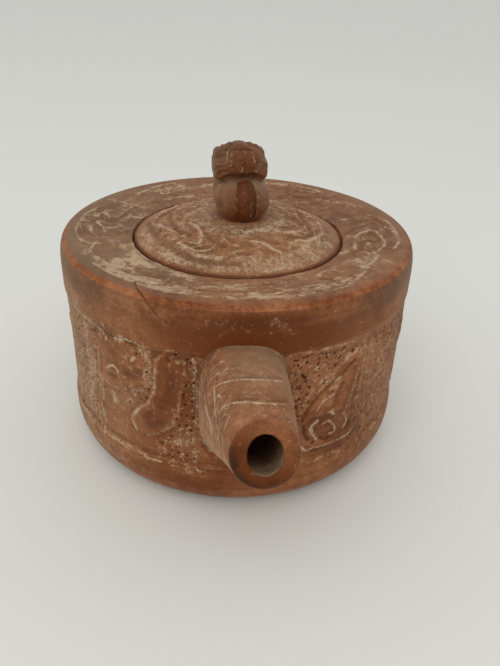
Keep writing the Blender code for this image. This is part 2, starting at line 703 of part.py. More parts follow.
def build_knob(bench, plate):
    """Seated lion, its back to the spout, from luted forms, rolls and pellets."""
    seat = bpy.data.objects.new("knob_place", None)
    bench.parts.objects.link(seat)
    seat.parent = plate
    seat.location = (KNOB_OFFSET, 0.0, LID_TOP + CLAY_GAP)
    seat.rotation_euler = (0.0, 0.0, KNOB_TURN)

    haunch = knob_form(HAUNCH_SHARES)
    chest = knob_form(CHEST_SHARES)
    skull = knob_form(SKULL_SHARES)
    snout = knob_form(SNOUT_SHARES)

    def guide(name, form, grow=0.0):
        return bench.guide(name, knob_form_mesh(name, form, grow), seat)

    chest_guide = guide("chest_form", chest)
    snout_guide = guide("snout_form", snout)
    haunch_cutter = guide("haunch_cutter", haunch, CLAY_GAP)
    chest_cutter = guide("chest_cutter", chest, CLAY_GAP)
    skull_cutter = guide("skull_cutter", skull, CLAY_GAP)
    floor_depth = KNOB_HEIGHT
    floor = cylinder_mesh("floor_cutter", KNOB_WIDTH + KNOB_DEPTH, floor_depth, BODY_STEPS,
                          Matrix.Translation((0.0, 0.0, -floor_depth / 2.0)))
    floor_cutter = bench.guide("floor_cutter", floor, seat)

    body = bench.piece("knob_body", knob_form_mesh("knob_body", haunch), KNOB_CLAY, seat)
    add_boolean(body, chest_guide, "UNION")
    add_boolean(body, floor_cutter, "DIFFERENCE")

    head = bench.piece("knob_head", knob_form_mesh("knob_head", skull), KNOB_CLAY, seat)
    add_boolean(head, snout_guide, "UNION")
    add_boolean(head, haunch_cutter, "DIFFERENCE")
    add_boolean(head, chest_cutter, "DIFFERENCE")

    tail_roll = roll_mesh("knob_tail", haunch, TAIL_HALF_WIDTH, TAIL_THICKNESS, TAIL_START, TAIL_END)
    tail = bench.piece("knob_tail", tail_roll, KNOB_CLAY, seat)
    add_boolean(tail, haunch_cutter, "DIFFERENCE")
    add_boolean(tail, skull_cutter, "DIFFERENCE")
    add_boolean(tail, floor_cutter, "DIFFERENCE")

    lock_roll = roll_mesh("knob_mane_lock", skull, LOCK_HALF_WIDTH, LOCK_THICKNESS,
                          LOCK_START, LOCK_END)
    lock = bench.piece("knob_mane_lock", lock_roll, KNOB_CLAY, seat)
    add_boolean(lock, skull_cutter, "DIFFERENCE")
    add_boolean(lock, haunch_cutter, "DIFFERENCE")

    for label, side in (("left", -1.0), ("right", 1.0)):
        build_limbs(bench, seat, label, side, haunch_cutter, chest_cutter, floor_cutter)
        build_head_trim(bench, seat, label, side, skull_cutter)


def build_limbs(bench, seat, label, side, haunch_cutter, chest_cutter, floor_cutter):
    """Foreleg with its paw on one side."""
    name = "knob_foreleg_" + label
    paw = bench.guide("paw_" + label, knob_form_mesh("paw", knob_form(PAW_SHARES, side)), seat)
    leg = bench.piece(name, foreleg_mesh(name, side), KNOB_CLAY, seat)
    add_boolean(leg, paw, "UNION")
    add_boolean(leg, haunch_cutter, "DIFFERENCE")
    add_boolean(leg, chest_cutter, "DIFFERENCE")
    add_boolean(leg, floor_cutter, "DIFFERENCE")


def build_head_trim(bench, seat, label, side, skull_cutter):
    """Ear and mane curls on one side of the head."""
    centre, radii, power = knob_form(SKULL_SHARES)
    name = "knob_ear_" + label
    ear_centre, ear_radii, ear_power = knob_form(EAR_SHARES, side)
    ear_centre.x += centre.x
    mesh = knob_form_mesh(name, (ear_centre, ear_radii, ear_power), 0.0, CURL_SIDES, CURL_RINGS)
    ear = bench.piece(name, mesh, KNOB_CLAY, seat)
    add_boolean(ear, skull_cutter, "DIFFERENCE")

    sunk = CURL_RADIUS * CURL_SINK_SHARE
    for number, angle in enumerate(CURL_ANGLES, start=1):
        name = "knob_curl_" + label + "_" + str(number)
        upward, outward = surface_point(angle, power)
        place = centre + Vector((side * (radii.x - sunk) * outward, 0.0, (radii.z - sunk) * upward))
        pellet = (place, Vector((CURL_RADIUS, CURL_RADIUS, CURL_RADIUS)), ROUND_POWER)
        mesh = knob_form_mesh(name, pellet, 0.0, CURL_SIDES, CURL_RINGS)
        curl = bench.piece(name, mesh, KNOB_CLAY, seat)
        add_boolean(curl, skull_cutter, "DIFFERENCE")


def main():
    """Build the whole teapot."""
    clear_scene()
    bench = Bench()
    build_pot(bench)
    plate = build_lid(bench)
    build_knob(bench, plate)


main()
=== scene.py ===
"""Looks of the clay drum teapot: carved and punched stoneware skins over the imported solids.

Sizes inside the classes are millimetres in the row frame: +Z up, the spout along -Y and the
origin at the centre of the base. Angles round the pot start at the spout and grow towards +X.
"""

from __future__ import annotations

import logging
import math
from dataclasses import dataclass, field
from enum import Enum
from typing import Sequence

import bpy
import numpy as np
from mathutils import Matrix, Vector
from mathutils.bvhtree import BVHTree


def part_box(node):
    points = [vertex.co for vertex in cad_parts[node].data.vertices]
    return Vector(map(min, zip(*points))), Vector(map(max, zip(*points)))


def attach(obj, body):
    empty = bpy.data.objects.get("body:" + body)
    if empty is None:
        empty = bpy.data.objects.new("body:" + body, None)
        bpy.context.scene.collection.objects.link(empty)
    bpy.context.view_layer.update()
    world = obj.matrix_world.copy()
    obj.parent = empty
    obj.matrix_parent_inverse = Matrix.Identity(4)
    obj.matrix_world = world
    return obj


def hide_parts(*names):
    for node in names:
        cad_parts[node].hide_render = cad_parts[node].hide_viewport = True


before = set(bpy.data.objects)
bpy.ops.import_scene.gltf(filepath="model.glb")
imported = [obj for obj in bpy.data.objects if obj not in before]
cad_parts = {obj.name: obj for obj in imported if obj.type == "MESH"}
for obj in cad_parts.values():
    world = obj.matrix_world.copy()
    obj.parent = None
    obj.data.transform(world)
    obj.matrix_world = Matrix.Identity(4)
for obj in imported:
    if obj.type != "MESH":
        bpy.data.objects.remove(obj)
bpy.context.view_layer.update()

log = logging.getLogger("teapot")

MM = 0.001
FULL_TURN = 2.0 * math.pi
TINY = 1e-9

Array = np.ndarray
Material = bpy.types.Material
Mesh = bpy.types.Mesh
Socket = bpy.types.NodeSocket
Colour = tuple[float, float, float]
Pixel = tuple[float, float]
Tones = dict[str, Array]
Faces = Sequence[Sequence[int]]
Holes = list[tuple[Array, Array, float]]


class Cut(Enum):
    """How a tool or a hand marks the clay."""

    GROOVE = "incised line with residue left in it"
    RIDGE = "raised edge that is rubbed pale"
    DOTS = "row of small pale pricks"
    MOUND = "raised roll with residue round its foot"
    # The hollow is painted with shade.
    HOLLOW = "shallow hollow without residue"
    STAIN = "residue alone"
    # These two are painted near black: painted shade in the cut.
    DARK = "deep cut that stays dark"
    CRACK = "hairline that is dark"


@dataclass(frozen=True)
class Stroke:
    """One mark, routed over pixels of the photograph, with its half width and depth."""

    route: tuple[Pixel, ...]
    width: float
    depth: float
    cut: Cut = Cut.GROOVE
    residue: float = 0.9


@dataclass(frozen=True)
class PhotoView:
    """Camera of the photograph."""

    place: tuple[float, float, float] = (-12.29, -175.82, 131.62)
    yaw: float = math.radians(5.486)
    pitch: float = math.radians(30.40)
    roll: float = math.radians(2.219)
    focal: float = 650.0
    width: int = 500
    height: int = 666

    def axes(self) -> Array:
        """Directions of the picture.

        Returns:
            Right, up and forward as rows.
        """
        level = math.cos(self.pitch)
        forward = np.array([math.sin(self.yaw) * level, math.cos(self.yaw) * level,
                            -math.sin(self.pitch)])
        right = np.cross(forward, [0.0, 0.0, 1.0])
        right /= np.linalg.norm(right)
        up = np.cross(right, forward)
        turned = math.cos(self.roll) * right + math.sin(self.roll) * up
        upright = math.cos(self.roll) * up - math.sin(self.roll) * right
        return np.array([turned, upright, forward])

    def ray(self, pixel: Pixel) -> Array:
        """Direction through a pixel.

        Args:
            pixel: Place in the photograph, from its upper left corner.

        Returns:
            Unit vector in the row frame.
        """
        right, up, forward = self.axes()
        across = (pixel[0] - self.width / 2.0) / self.focal
        down = (pixel[1] - self.height / 2.0) / self.focal
        direction = forward + across * right - down * up
        return direction / np.linalg.norm(direction)

    def land(self, route: Sequence[Pixel], node: str) -> Array:
        """Places where rays through pixels meet a solid of the frame.

        Args:
            route: Pixels of the photograph.
            node: Name of the solid that they are drawn on.

        Returns:
            One point a pixel, leaving out those that miss the solid.
        """
        tree = solid_tree(node)
        origin = Vector(self.place) * MM
        places = []
        for pixel in route:
            hit, _, _, _ = tree.ray_cast(origin, Vector(self.ray(pixel)))
            if hit is not None:
                places.append(np.array(hit) / MM)
        return np.array(places).reshape(-1, 3)


TREES: dict[str, BVHTree] = {}


def solid_tree(node: str) -> BVHTree:
    """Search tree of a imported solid, made once.

    Args:
        node: CAD node, or a shown skin that was kept.

    Returns:
        Its tree, in metres.
    """
    if node not in TREES:
        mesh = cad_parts[node].data
        corners = [corner.co for corner in mesh.vertices]
        TREES[node] = BVHTree.FromPolygons(corners, [face.vertices for face in mesh.polygons])
    return TREES[node]


def keep_tree(name: str, corners: Array, faces: Faces) -> None:
    """Keep a search tree of a shown skin, whose corners are in millimetres."""
    TREES[name] = BVHTree.FromPolygons((corners * MM).tolist(), faces)


def smooth_step(low: float, high: float, value: Array) -> Array:
    """Rise from 0 at low to 1 at high with flat ends."""
    share = np.clip((value - low) / (high - low), 0.0, 1.0)
    return share * share * (3.0 - 2.0 * share)


def lattice_noise(points: Array, cell: float, seed: int) -> Array:
    """Smooth noise from 0 to 1.

    Args:
        points: Places, one a row.
        cell: Size of a lump.
        seed: Number of the pattern.

    Returns:
        One value a point.
    """
    scaled = points / cell
    corner = np.floor(scaled).astype(np.int64)
    part = scaled - corner
    part = part * part * (3.0 - 2.0 * part)
    total = np.zeros(len(points))
    for number in range(8):
        step = np.array([number & 1, number >> 1 & 1, number >> 2 & 1])
        key = (corner + step).astype(np.uint64)
        mixed = key[:, 0] * np.uint64(73856093) ^ key[:, 1] * np.uint64(19349663)
        mixed = mixed ^ key[:, 2] * np.uint64(83492791) ^ np.uint64(seed * 2654435761)
        mixed = (mixed ^ mixed >> np.uint64(15)) * np.uint64(2246822519)
        mixed = (mixed ^ mixed >> np.uint64(13)) * np.uint64(3266489917)
        value = ((mixed ^ mixed >> np.uint64(16)) & np.uint64(65535)).astype(float) / 65535.0
        weight = np.prod(np.where(step == 1, part, 1.0 - part), axis=1)
        total += weight * value
    return total


@dataclass(frozen=True)
class Fade:
    """Stretch of a measure over which something sets in."""

    start: float
    full: float

    def of(self, value: Array) -> Array:
        """Share from 0 before the start to 1 past the end."""
        return smooth_step(self.start, self.full, value)


@dataclass(frozen=True)
class Zone:
    """Stretch of a measure in which something sets in, stays and fades."""

    start: float
    full: float
    fading: float
    end: float

    def of(self, value: Array) -> Array:
        """Share from 0 outside to 1 between full and fading."""
        return smooth_step(self.start, self.full, value) * (1.0 - smooth_step(self.fading, self.end, value))


def bell(value: Array, middle: float, width: float | Array) -> Array:
    """Bump of height 1 at the middle that fades on both sides."""
    return np.exp(-((value - middle) / width) ** 2)


@dataclass(frozen=True)
class Spot:
    """Soft patch on the drum: arc length from the spout, height, and how far it goes along each."""

    arc: float
    breadth: float
    level: float
    rise: float

    def of(self, arc: Array, level: Array) -> Array:
        """Share from 0 to 1 at each place."""
        return bell(arc, self.arc, self.breadth) * bell(level, self.level, self.rise)


def layered_noise(points: Array, cell: float, seed: int, layers: int = 3) -> Array:
    """Noise of several sizes, each half as large and half as strong as the last.

    Args:
        points: Places, one a row.
        cell: Size of the largest lumps.
        seed: Number of the pattern.
        layers: How many sizes.

    Returns:
        One value from 0 to 1 a point.
    """
    total = np.zeros(len(points))
    for layer in range(layers):
        total += lattice_noise(points, cell / 2.0 ** layer, seed + layer) / 2.0 ** (layer + 1)
    return total / (1.0 - 0.5 ** layers)


def scrolled_noise(points: Array, cell: float, seed: int) -> Array:
    """Winding ridges, like worn carved scrolls.

    Args:
        points: Places, one a row.
        cell: Distance between ridges.
        seed: Number of the pattern.

    Returns:
        One value from 0 to 1 a point.
    """
    half_ridge = 0.16
    pull = [lattice_noise(points, 1.5 * cell, seed + axis) - 0.5 for axis in range(3)]
    value = lattice_noise(points + 2.2 * cell * np.column_stack(pull), cell, seed + 3)
    return np.clip(1.0 - np.abs(value - 0.5) / half_ridge, 0.0, 1.0) ** 1.5


def flowing_route(points: Array, closed: bool = False, steps: int = 5) -> Array:
    """Smooth route through points.

    Args:
        points: Places that the route passes.
        closed: True if the end joins the start.
        steps: Pieces in each span.

    Returns:
        Points of the finer route.
    """
    count = len(points)
    if count < 3:
        return points
    spans = count if closed else count - 1
    route = []
    for number in range(spans):
        if closed:
            before, start, end, after = (points[(number + k) % count] for k in (-1, 0, 1, 2))
        else:
            before, start = points[max(number - 1, 0)], points[number]
            end, after = points[number + 1], points[min(number + 2, count - 1)]
        for step in range(steps):
            t = step / steps
            route.append(0.5 * (2.0 * start + (end - before) * t
                                + (2.0 * before - 5.0 * start + 4.0 * end - after) * t ** 2
                                + (3.0 * start - before - 3.0 * end + after) * t ** 3))
    if not closed:
        route.append(points[-1])
    return np.array(route)


def route_distance(points: Array, route: Array) -> tuple[Array, Array]:
    """Nearest distance to a route.

    Args:
        points: Places to measure from.
        route: Corners of the route.

    Returns:
        Distance of each place, and the share of the route's length that is nearest.
    """
    best = np.full(len(points), np.inf)
    share = np.zeros(len(points))
    edges = np.diff(route, axis=0)
    lengths = np.maximum(np.linalg.norm(edges, axis=1), 1e-6)
    begins = np.concatenate([[0.0], np.cumsum(lengths)])
    for start, edge, length, begin in zip(route, edges, lengths, begins):
        along = np.clip((points - start) @ edge / length ** 2, 0.0, 1.0)
        distance = np.linalg.norm(points - start - along[:, None] * edge, axis=1)
        closer = distance < best
        best[closer] = distance[closer]
        share[closer] = (begin + along[closer] * length) / begins[-1]
    return best, share


def inside_distance(chart: Array, outline: Array) -> Array:
    """Signed distance to a closed outline in a flat chart.

    Args:
        chart: Two coordinates a place.
        outline: Corners of the outline.

    Returns:
        Distance of each place, positive inside and never under minus the margin.
    """
    margin = 4.0
    ring = np.vstack([outline, outline[:1]])
    signed = np.full(len(chart), -margin)
    near = np.all((chart > ring.min(0) - margin) & (chart < ring.max(0) + margin), axis=1)
    spots = chart[near]
    distance, _ = route_distance(spots, ring)
    crossings = np.zeros(len(spots), dtype=int)
    for (x0, y0), (x1, y1) in zip(ring, ring[1:]):
        if y0 == y1:
            continue
        between = (spots[:, 1] >= min(y0, y1)) & (spots[:, 1] < max(y0, y1))
        reach = x0 + (spots[:, 1] - y0) * (x1 - x0) / (y1 - y0)
        crossings += between & (spots[:, 0] < reach)
    signed[near] = np.where(crossings % 2 == 1, distance, -distance)
    return np.maximum(signed, -margin)


@dataclass(frozen=True)
class Punch:
    """Rows of holes poked with a point, jittered as by hand."""

    spacing: float = 1.50
    jitter: float = 0.42
    radius: float = 0.28
    uneven: float = 0.5
    stretch: float = 1.15
    skip: float = 0.18
    seed: int = 5
    wall: Fade = Fade(0.45, 1.35)

    def holes(self, chart: Array, around: float | None = None) -> tuple[Array, Array]:
        """Depth share of the holes at places of a chart.

        Args:
            chart: Two coordinates a place.
            around: Length after which the first coordinate repeats.

        Returns:
            Depth share from 0 to 1, and a number from 0 to 1 that tells the holes apart.
        """
        step = self.spacing
        if around is not None:
            step = around / max(1, round(around / self.spacing))
        columns = None if around is None else round(around / step)
        cell = np.floor(chart / [step, self.spacing]).astype(np.int64)
        depth = np.zeros(len(chart))
        kind = np.zeros(len(chart))
        for across in (-1, 0, 1):
            for along in (-1, 0, 1):
                place = cell + [across, along]
                key = place.copy()
                if columns is not None:
                    key[:, 0] %= columns
                flat = np.column_stack([key.astype(float), np.zeros(len(key))])
                chance = [lattice_noise(flat, 1.0, self.seed + number) for number in range(4)]
                centre_x = (place[:, 0] + 0.5 + (chance[0] - 0.5) * 2.0 * self.jitter) * step
                centre_y = (place[:, 1] + 0.5 + (chance[1] - 0.5) * 2.0 * self.jitter) * self.spacing
                size = self.radius * (1.0 - self.uneven / 2.0 + self.uneven * chance[2])
                away = np.hypot(chart[:, 0] - centre_x, (chart[:, 1] - centre_y) / self.stretch) / size
                pit = np.where(chance[3] > self.skip, 1.0 - self.wall.of(away), 0.0)
                deeper = pit > depth
                depth[deeper] = pit[deeper]
                kind[deeper] = chance[3][deeper]
        return depth, kind


class Canvas:
    """Clay surface that is marked: a height and five tones at each of its places. The shade tone is painted
    shade, and darker clay on the knob; the pit tone is painted shade in holes and cuts.
    """

    END_WIDTH = 0.65
    PRICK_SPACING = 1.15
    FOOT_SPREAD = 1.15

    def __init__(self, places: Array) -> None:
        """Start with smooth bare clay.

        Args:
            places: Where the surface is, one place a row, in millimetres.
        """
        self.places = places
        self.height = np.zeros(len(places))
        self.pale = np.zeros(len(places))
        self.film = np.zeros(len(places))
        self.pit = np.zeros(len(places))
        self.warm = np.zeros(len(places))
        self.shade_and_dark_clay = np.zeros(len(places))

    def tones(self) -> Tones:
        """Values that the finish reads."""
        return {"pale": self.pale, "film": self.film, "pit": self.pit, "warm": self.warm,
                "shade_and_dark_clay": self.shade_and_dark_clay}

    def lifted(self, normals: Array) -> Array:
        """Places moved along their normals by the heights."""
        return self.places + self.height[:, None] * normals

    def mark(self, route: Array, width: float, depth: float, cut: Cut, residue: float) -> None:
        """Draw one stroke along a route of 3-D points.

        Args:
            route: Corners of the stroke.
            width: Half width where the mark has a third of its depth left.
            depth: Depth or rise of the mark.
            cut: Kind of mark.
            residue: Pale residue that it holds, from 0 to 1.
        """
        if len(route) < 2:
            return
        reach = 3.0 * width
        low, high = route.min(0) - reach, route.max(0) + reach
        near = np.all((self.places > low) & (self.places < high), axis=1)
        if not near.any():
            return
        distance, share = route_distance(self.places[near], route)
        swell = np.sin(math.pi * np.clip(share, 0.0, 1.0)) ** 0.5
        half_width = width * (self.END_WIDTH + (1.0 - self.END_WIDTH) * swell)
        mark = bell(distance, 0.0, half_width)
        length = np.linalg.norm(np.diff(route, axis=0), axis=1).sum()
        patches = layered_noise(self.places[near], cell=2.4, seed=17, layers=2)
        residue = residue * np.clip(0.15 + 1.5 * patches, 0.2, 1.2)
        if cut is Cut.GROOVE:
            self.height[near] -= depth * mark
            self.pale[near] = np.maximum(self.pale[near], residue * mark)
        elif cut is Cut.RIDGE:
            self.height[near] += depth * mark
            self.pale[near] = np.maximum(self.pale[near], residue * mark ** 2)
        elif cut is Cut.DOTS:
            beat = np.sin(share * length * FULL_TURN / self.PRICK_SPACING)
            beads = mark * smooth_step(-0.3, 0.6, beat)
            self.height[near] -= depth * beads
            self.pale[near] = np.maximum(self.pale[near], residue * beads)
        elif cut is Cut.MOUND:
            self.height[near] += depth * (1.0 - smooth_step(0.35, 1.25, distance / half_width))
            foot = bell(distance / half_width, self.FOOT_SPREAD, 0.32)
            self.pale[near] = np.maximum(self.pale[near] * (1.0 - 0.6 * mark), residue * foot)
        elif cut is Cut.HOLLOW:
            self.height[near] -= depth * mark
            self.pale[near] *= 1.0 - residue * mark
            # painted shade in the hollow
            self.shade_and_dark_clay[near] = np.maximum(self.shade_and_dark_clay[near], 0.7 * mark)
        elif cut is Cut.STAIN:
            self.pale[near] = np.maximum(self.pale[near], residue * mark)
        elif cut is Cut.DARK:
            self.height[near] -= depth * mark
            self.pale[near] *= 1.0 - mark
            # painted shade, near black, in the deep cut
            self.pit[near] = np.maximum(self.pit[near], residue * mark)
        else:
            self.height[near] -= depth * mark
            # painted shade, near black, in the crack
            self.pit[near] = np.maximum(self.pit[near], mark * (1.0 - 0.6 * share))

    def pale_edges_and_shaded_hollows(self, shape: tuple[int, int], reach: int, rubbed: float, step: float = 0.11) -> None:
        """Pale on raised edges, part residue and part painted highlight, and painted shade in hollows.

        Args:
            shape: Rows and columns of the places, whose columns close.
            reach: How many cells the surroundings go.
            rubbed: Pale that the edges get, part residue and part painted highlight.
            step: Height above the surroundings that counts as a full edge.
        """
        height = self.height.reshape(shape)
        soft = height
        for _ in range(reach):
            rows = np.pad(soft, ((1, 1), (0, 0)), mode="edge")
            beside = np.roll(soft, 1, axis=1) + np.roll(soft, -1, axis=1)
            soft = (beside + rows[:-2] + rows[2:]) / 4.0
        relief = (height - soft).ravel() / step
        patch = smooth_step(0.34, 0.66, layered_noise(self.places, cell=6.0, seed=19))
        # residue with painted highlight on raised edges, painted shade in hollows
        self.pale += rubbed * np.clip(relief, 0.0, 1.0) * (0.4 + patch)
        self.shade_and_dark_clay = np.maximum(self.shade_and_dark_clay, 0.8 * np.clip(-relief, 0.0, 1.0))

    def draw(self, strokes: Sequence[Stroke], view: PhotoView, node: str, turn: float = 0.0) -> None:
        """Draw strokes that were read from the photograph.

        Args:
            strokes: What to draw.
            view: Camera that they were seen with.
            node: Solid that they lie on.
            turn: Angle in radians to carry a copy round the pot by.
        """
        spin = np.array(Matrix.Rotation(turn, 3, "Z"))
        for stroke in strokes:
            places = view.land(stroke.route, node)
            if len(places) > 1:
                self.mark(flowing_route(places @ spin.T), stroke.width, stroke.depth, stroke.cut,
                          stroke.residue)


def add_object(name: str, data: bpy.types.ID) -> bpy.types.Object:
    """Object in the scene.

    Args:
        name: Its name.
        data: Mesh, lamp or camera that it holds.

    Returns:
        The object.
    """
    holder = bpy.data.objects.new(name, data)
    bpy.context.scene.collection.objects.link(holder)
    return holder


def piece_object(name: str, mesh: Mesh, material: Material, body: str,
                 nodes: Sequence[str]) -> bpy.types.Object:
    """Shown object of one piece of clay.

    Args:
        name: Piece name.
        mesh: Final mesh in metres.
        material: Finish.
        body: CAD body that carries it.
        nodes: CAD nodes that it stands for.

    Returns:
        The object, riding on its body.
    """
    mesh.materials.append(material)
    piece = add_object(name, mesh)
    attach(piece, body)
    if nodes:
        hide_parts(*nodes)
    return piece


def clay_mesh(name: str, places: Array, faces: Faces, tones: Tones) -> Mesh:
    """Smooth mesh with its tones as attributes.

    Args:
        name: Mesh name.
        places: Corners in millimetres.
        faces: Corner numbers of each face.
        tones: Values at the corners that the finish reads.

    Returns:
        The mesh, in metres.
    """
    mesh = bpy.data.meshes.new(name)
    mesh.from_pydata((places * MM).tolist(), [], faces)
    mesh.shade_smooth()
    for tone, values in tones.items():
        layer = mesh.attributes.new(tone, "FLOAT", "POINT")
        layer.data.foreach_set("value", np.clip(values, 0.0, 1.0).astype(np.float32))
    mesh.update()
    return mesh


def grid_faces(rows: int, columns: int, wrap_rows: bool, start: int = 0) -> list[tuple[int, ...]]:
    """Quads of a grid whose columns close on themselves.

    Args:
        rows: Rows of corners.
        columns: Corners in a row.
        wrap_rows: True if the last row joins the first.
        start: Number of the first corner.

    Returns:
        Corner numbers of each quad.
    """
    row = np.arange(rows if wrap_rows else rows - 1)[:, None]
    column = np.arange(columns)[None, :]
    following = (column + 1) % columns
    above = (row + 1) % rows
    quads = np.stack([row * columns + column, row * columns + following,
                      above * columns + following, above * columns + column], axis=-1)
    return (quads.reshape(-1, 4) + start).tolist()


def capped_faces(rows: int, columns: int) -> list[tuple[int, ...]]:
    """Faces of a closed form with one corner at each end and rings between them.

    Args:
        rows: Rings.
        columns: Corners in a ring.

    Returns:
        Corner numbers of each face, the first end first and the last end last.
    """
    faces = grid_faces(rows, columns, False, 1)
    end = 1 + rows * columns
    for column in range(columns):
        following = (column + 1) % columns
        faces.append((0, 1 + following, 1 + column))
        faces.append((end, end - columns + column, end - columns + following))
    return faces


def capped_tones(tones: Tones) -> Tones:
    """Tones of rings, with bare clay at the corner on each end."""
    return {tone: np.pad(values, 1) for tone, values in tones.items()}


def turned_places(radii: Array, heights: Array, angles: Array) -> Array:
    """Grid of places on a turned form.

    Args:
        radii: Radius of each row, or of each place.
        heights: Height of each row, or of each place.
        angles: Angle of each column, from the spout.

    Returns:
        Places by row and column.
    """
    if radii.ndim == 1:
        radii = radii[:, None]
        heights = heights[:, None] * np.ones_like(angles)
    return np.stack([radii * np.sin(angles), -radii * np.cos(angles), heights], axis=-1)


def turned_profile(points: Sequence[tuple[float, float]], angles: Array) -> Array:
    """Grid of places from radii and heights in pairs."""
    return turned_places(*np.array(points).T, angles)


def profile_normals(radii: Array, heights: Array) -> Array:
    """Outward normals of a profile that climbs on its outer side.

    Args:
        radii: Radius of each point.
        heights: Height of each point.

    Returns:
        Radial and upright part of each normal.
    """
    run = np.gradient(radii)
    climb = np.gradient(heights)
    length = np.maximum(np.hypot(run, climb), TINY)
    return np.column_stack([climb / length, -run / length])


def unit(vectors: Array) -> Array:
    """Vectors of length 1 along the last axis."""
    return vectors / np.maximum(np.linalg.norm(vectors, axis=-1, keepdims=True), TINY)


def grid_normals(grid: Array) -> Array:
    """Unit normals of a grid whose columns close, outward where its rows and columns say so."""
    across = np.roll(grid, -1, axis=1) - np.roll(grid, 1, axis=1)
    return unit(np.cross(across, np.gradient(grid, axis=0)))


def superellipse(angles: Array, power: Array) -> tuple[Array, Array]:
    """Both coordinates of a unit superellipse at each angle."""
    round_parts = (np.cos(angles), np.sin(angles))
    return tuple(np.sign(part) * np.abs(part) ** (2.0 / power) for part in round_parts)


def cylinder_between(start: Array, end: Array, radius: float, steps: int = 24) -> bpy.types.Object:
    """Plain round cutter.

    Args:
        start: Middle of one end, in millimetres.
        end: Middle of the other.
        radius: Its radius.
        steps: Sides of its section.

    Returns:
        The cutter as an object in metres.
    """
    axis = (end - start) / np.linalg.norm(end - start)
    side = np.cross(axis, [1.0, 0.0, 0.0] if abs(axis[0]) < 0.9 else [0.0, 1.0, 0.0])
    side /= np.linalg.norm(side)
    other = np.cross(axis, side)
    turn = np.linspace(0.0, FULL_TURN, steps, endpoint=False)
    ring = radius * (np.cos(turn)[:, None] * side + np.sin(turn)[:, None] * other)
    faces = [tuple(range(steps))[::-1], tuple(range(steps, 2 * steps))]
    faces += [(k, (k + 1) % steps, steps + (k + 1) % steps, steps + k) for k in range(steps)]
    mesh = bpy.data.meshes.new("drill")
    mesh.from_pydata((np.vstack([start + ring, end + ring]) * MM).tolist(), [], faces)
    return add_object("drill", mesh)


def drilled(mesh: Mesh, holes: Holes) -> Mesh:
    """Mesh with round holes cut through it.

    Args:
        mesh: Closed mesh in metres.
        holes: Start, end and radius of each hole, in millimetres.

    Returns:
        The cut mesh, with its attributes.
    """
    blank = add_object("blank", mesh)
    drills = [cylinder_between(*hole) for hole in holes]
    for drill in drills:
        cut = blank.modifiers.new("cut", "BOOLEAN")
        cut.operation = "DIFFERENCE"
        cut.solver = "MANIFOLD"
        cut.object = drill
    bpy.context.view_layer.update()
    graph = bpy.context.evaluated_depsgraph_get()
    result = bpy.data.meshes.new_from_object(blank.evaluated_get(graph))
    for helper in (blank, *drills):
        bpy.data.objects.remove(helper)
    result.materials.clear()
    result.shade_smooth()
    return result


class NodeBench:
    """Shader nodes of one tree, made and joined by short calls."""

    def __init__(self, tree: bpy.types.NodeTree) -> None:
        """Work on a tree."""
        self.tree = tree

    def link(self, source: Socket, target: Socket) -> None:
        """Join two sockets."""
        self.tree.links.new(source, target)

    def sum(self, terms: Sequence[tuple[Socket, float]], offset: float = 0.0) -> Socket:
        """Weighted sum.

        Args:
            terms: Values and their weights.
            offset: Number that is added.

        Returns:
            The sum.
        """
        total = None
        for source, weight in terms:
            node = self.tree.nodes.new("ShaderNodeMath")
            node.operation = "MULTIPLY_ADD"
            self.link(source, node.inputs[0])
            node.inputs[1].default_value = weight
            if total is None:
                node.inputs[2].default_value = offset
            else:
                self.link(total, node.inputs[2])
            total = node.outputs[0]
        return total

    def rise(self, source: Socket, low: float, high: float, floor: float = 0.0,
             top: float = 1.0) -> Socket:
        """Smooth rise of a value between two limits.

        Args:
            source: The value.
            low: Where it starts to rise.
            high: Where it has risen.
            floor: What it is before.
            top: What it is after.

        Returns:
            The risen value.
        """
        node = self.tree.nodes.new("ShaderNodeMapRange")
        node.interpolation_type = "SMOOTHSTEP"
        limits = {"From Min": low, "From Max": high, "To Min": floor, "To Max": top}
        for socket, value in limits.items():
            node.inputs[socket].default_value = value
        self.link(source, node.inputs["Value"])
        return node.outputs["Result"]


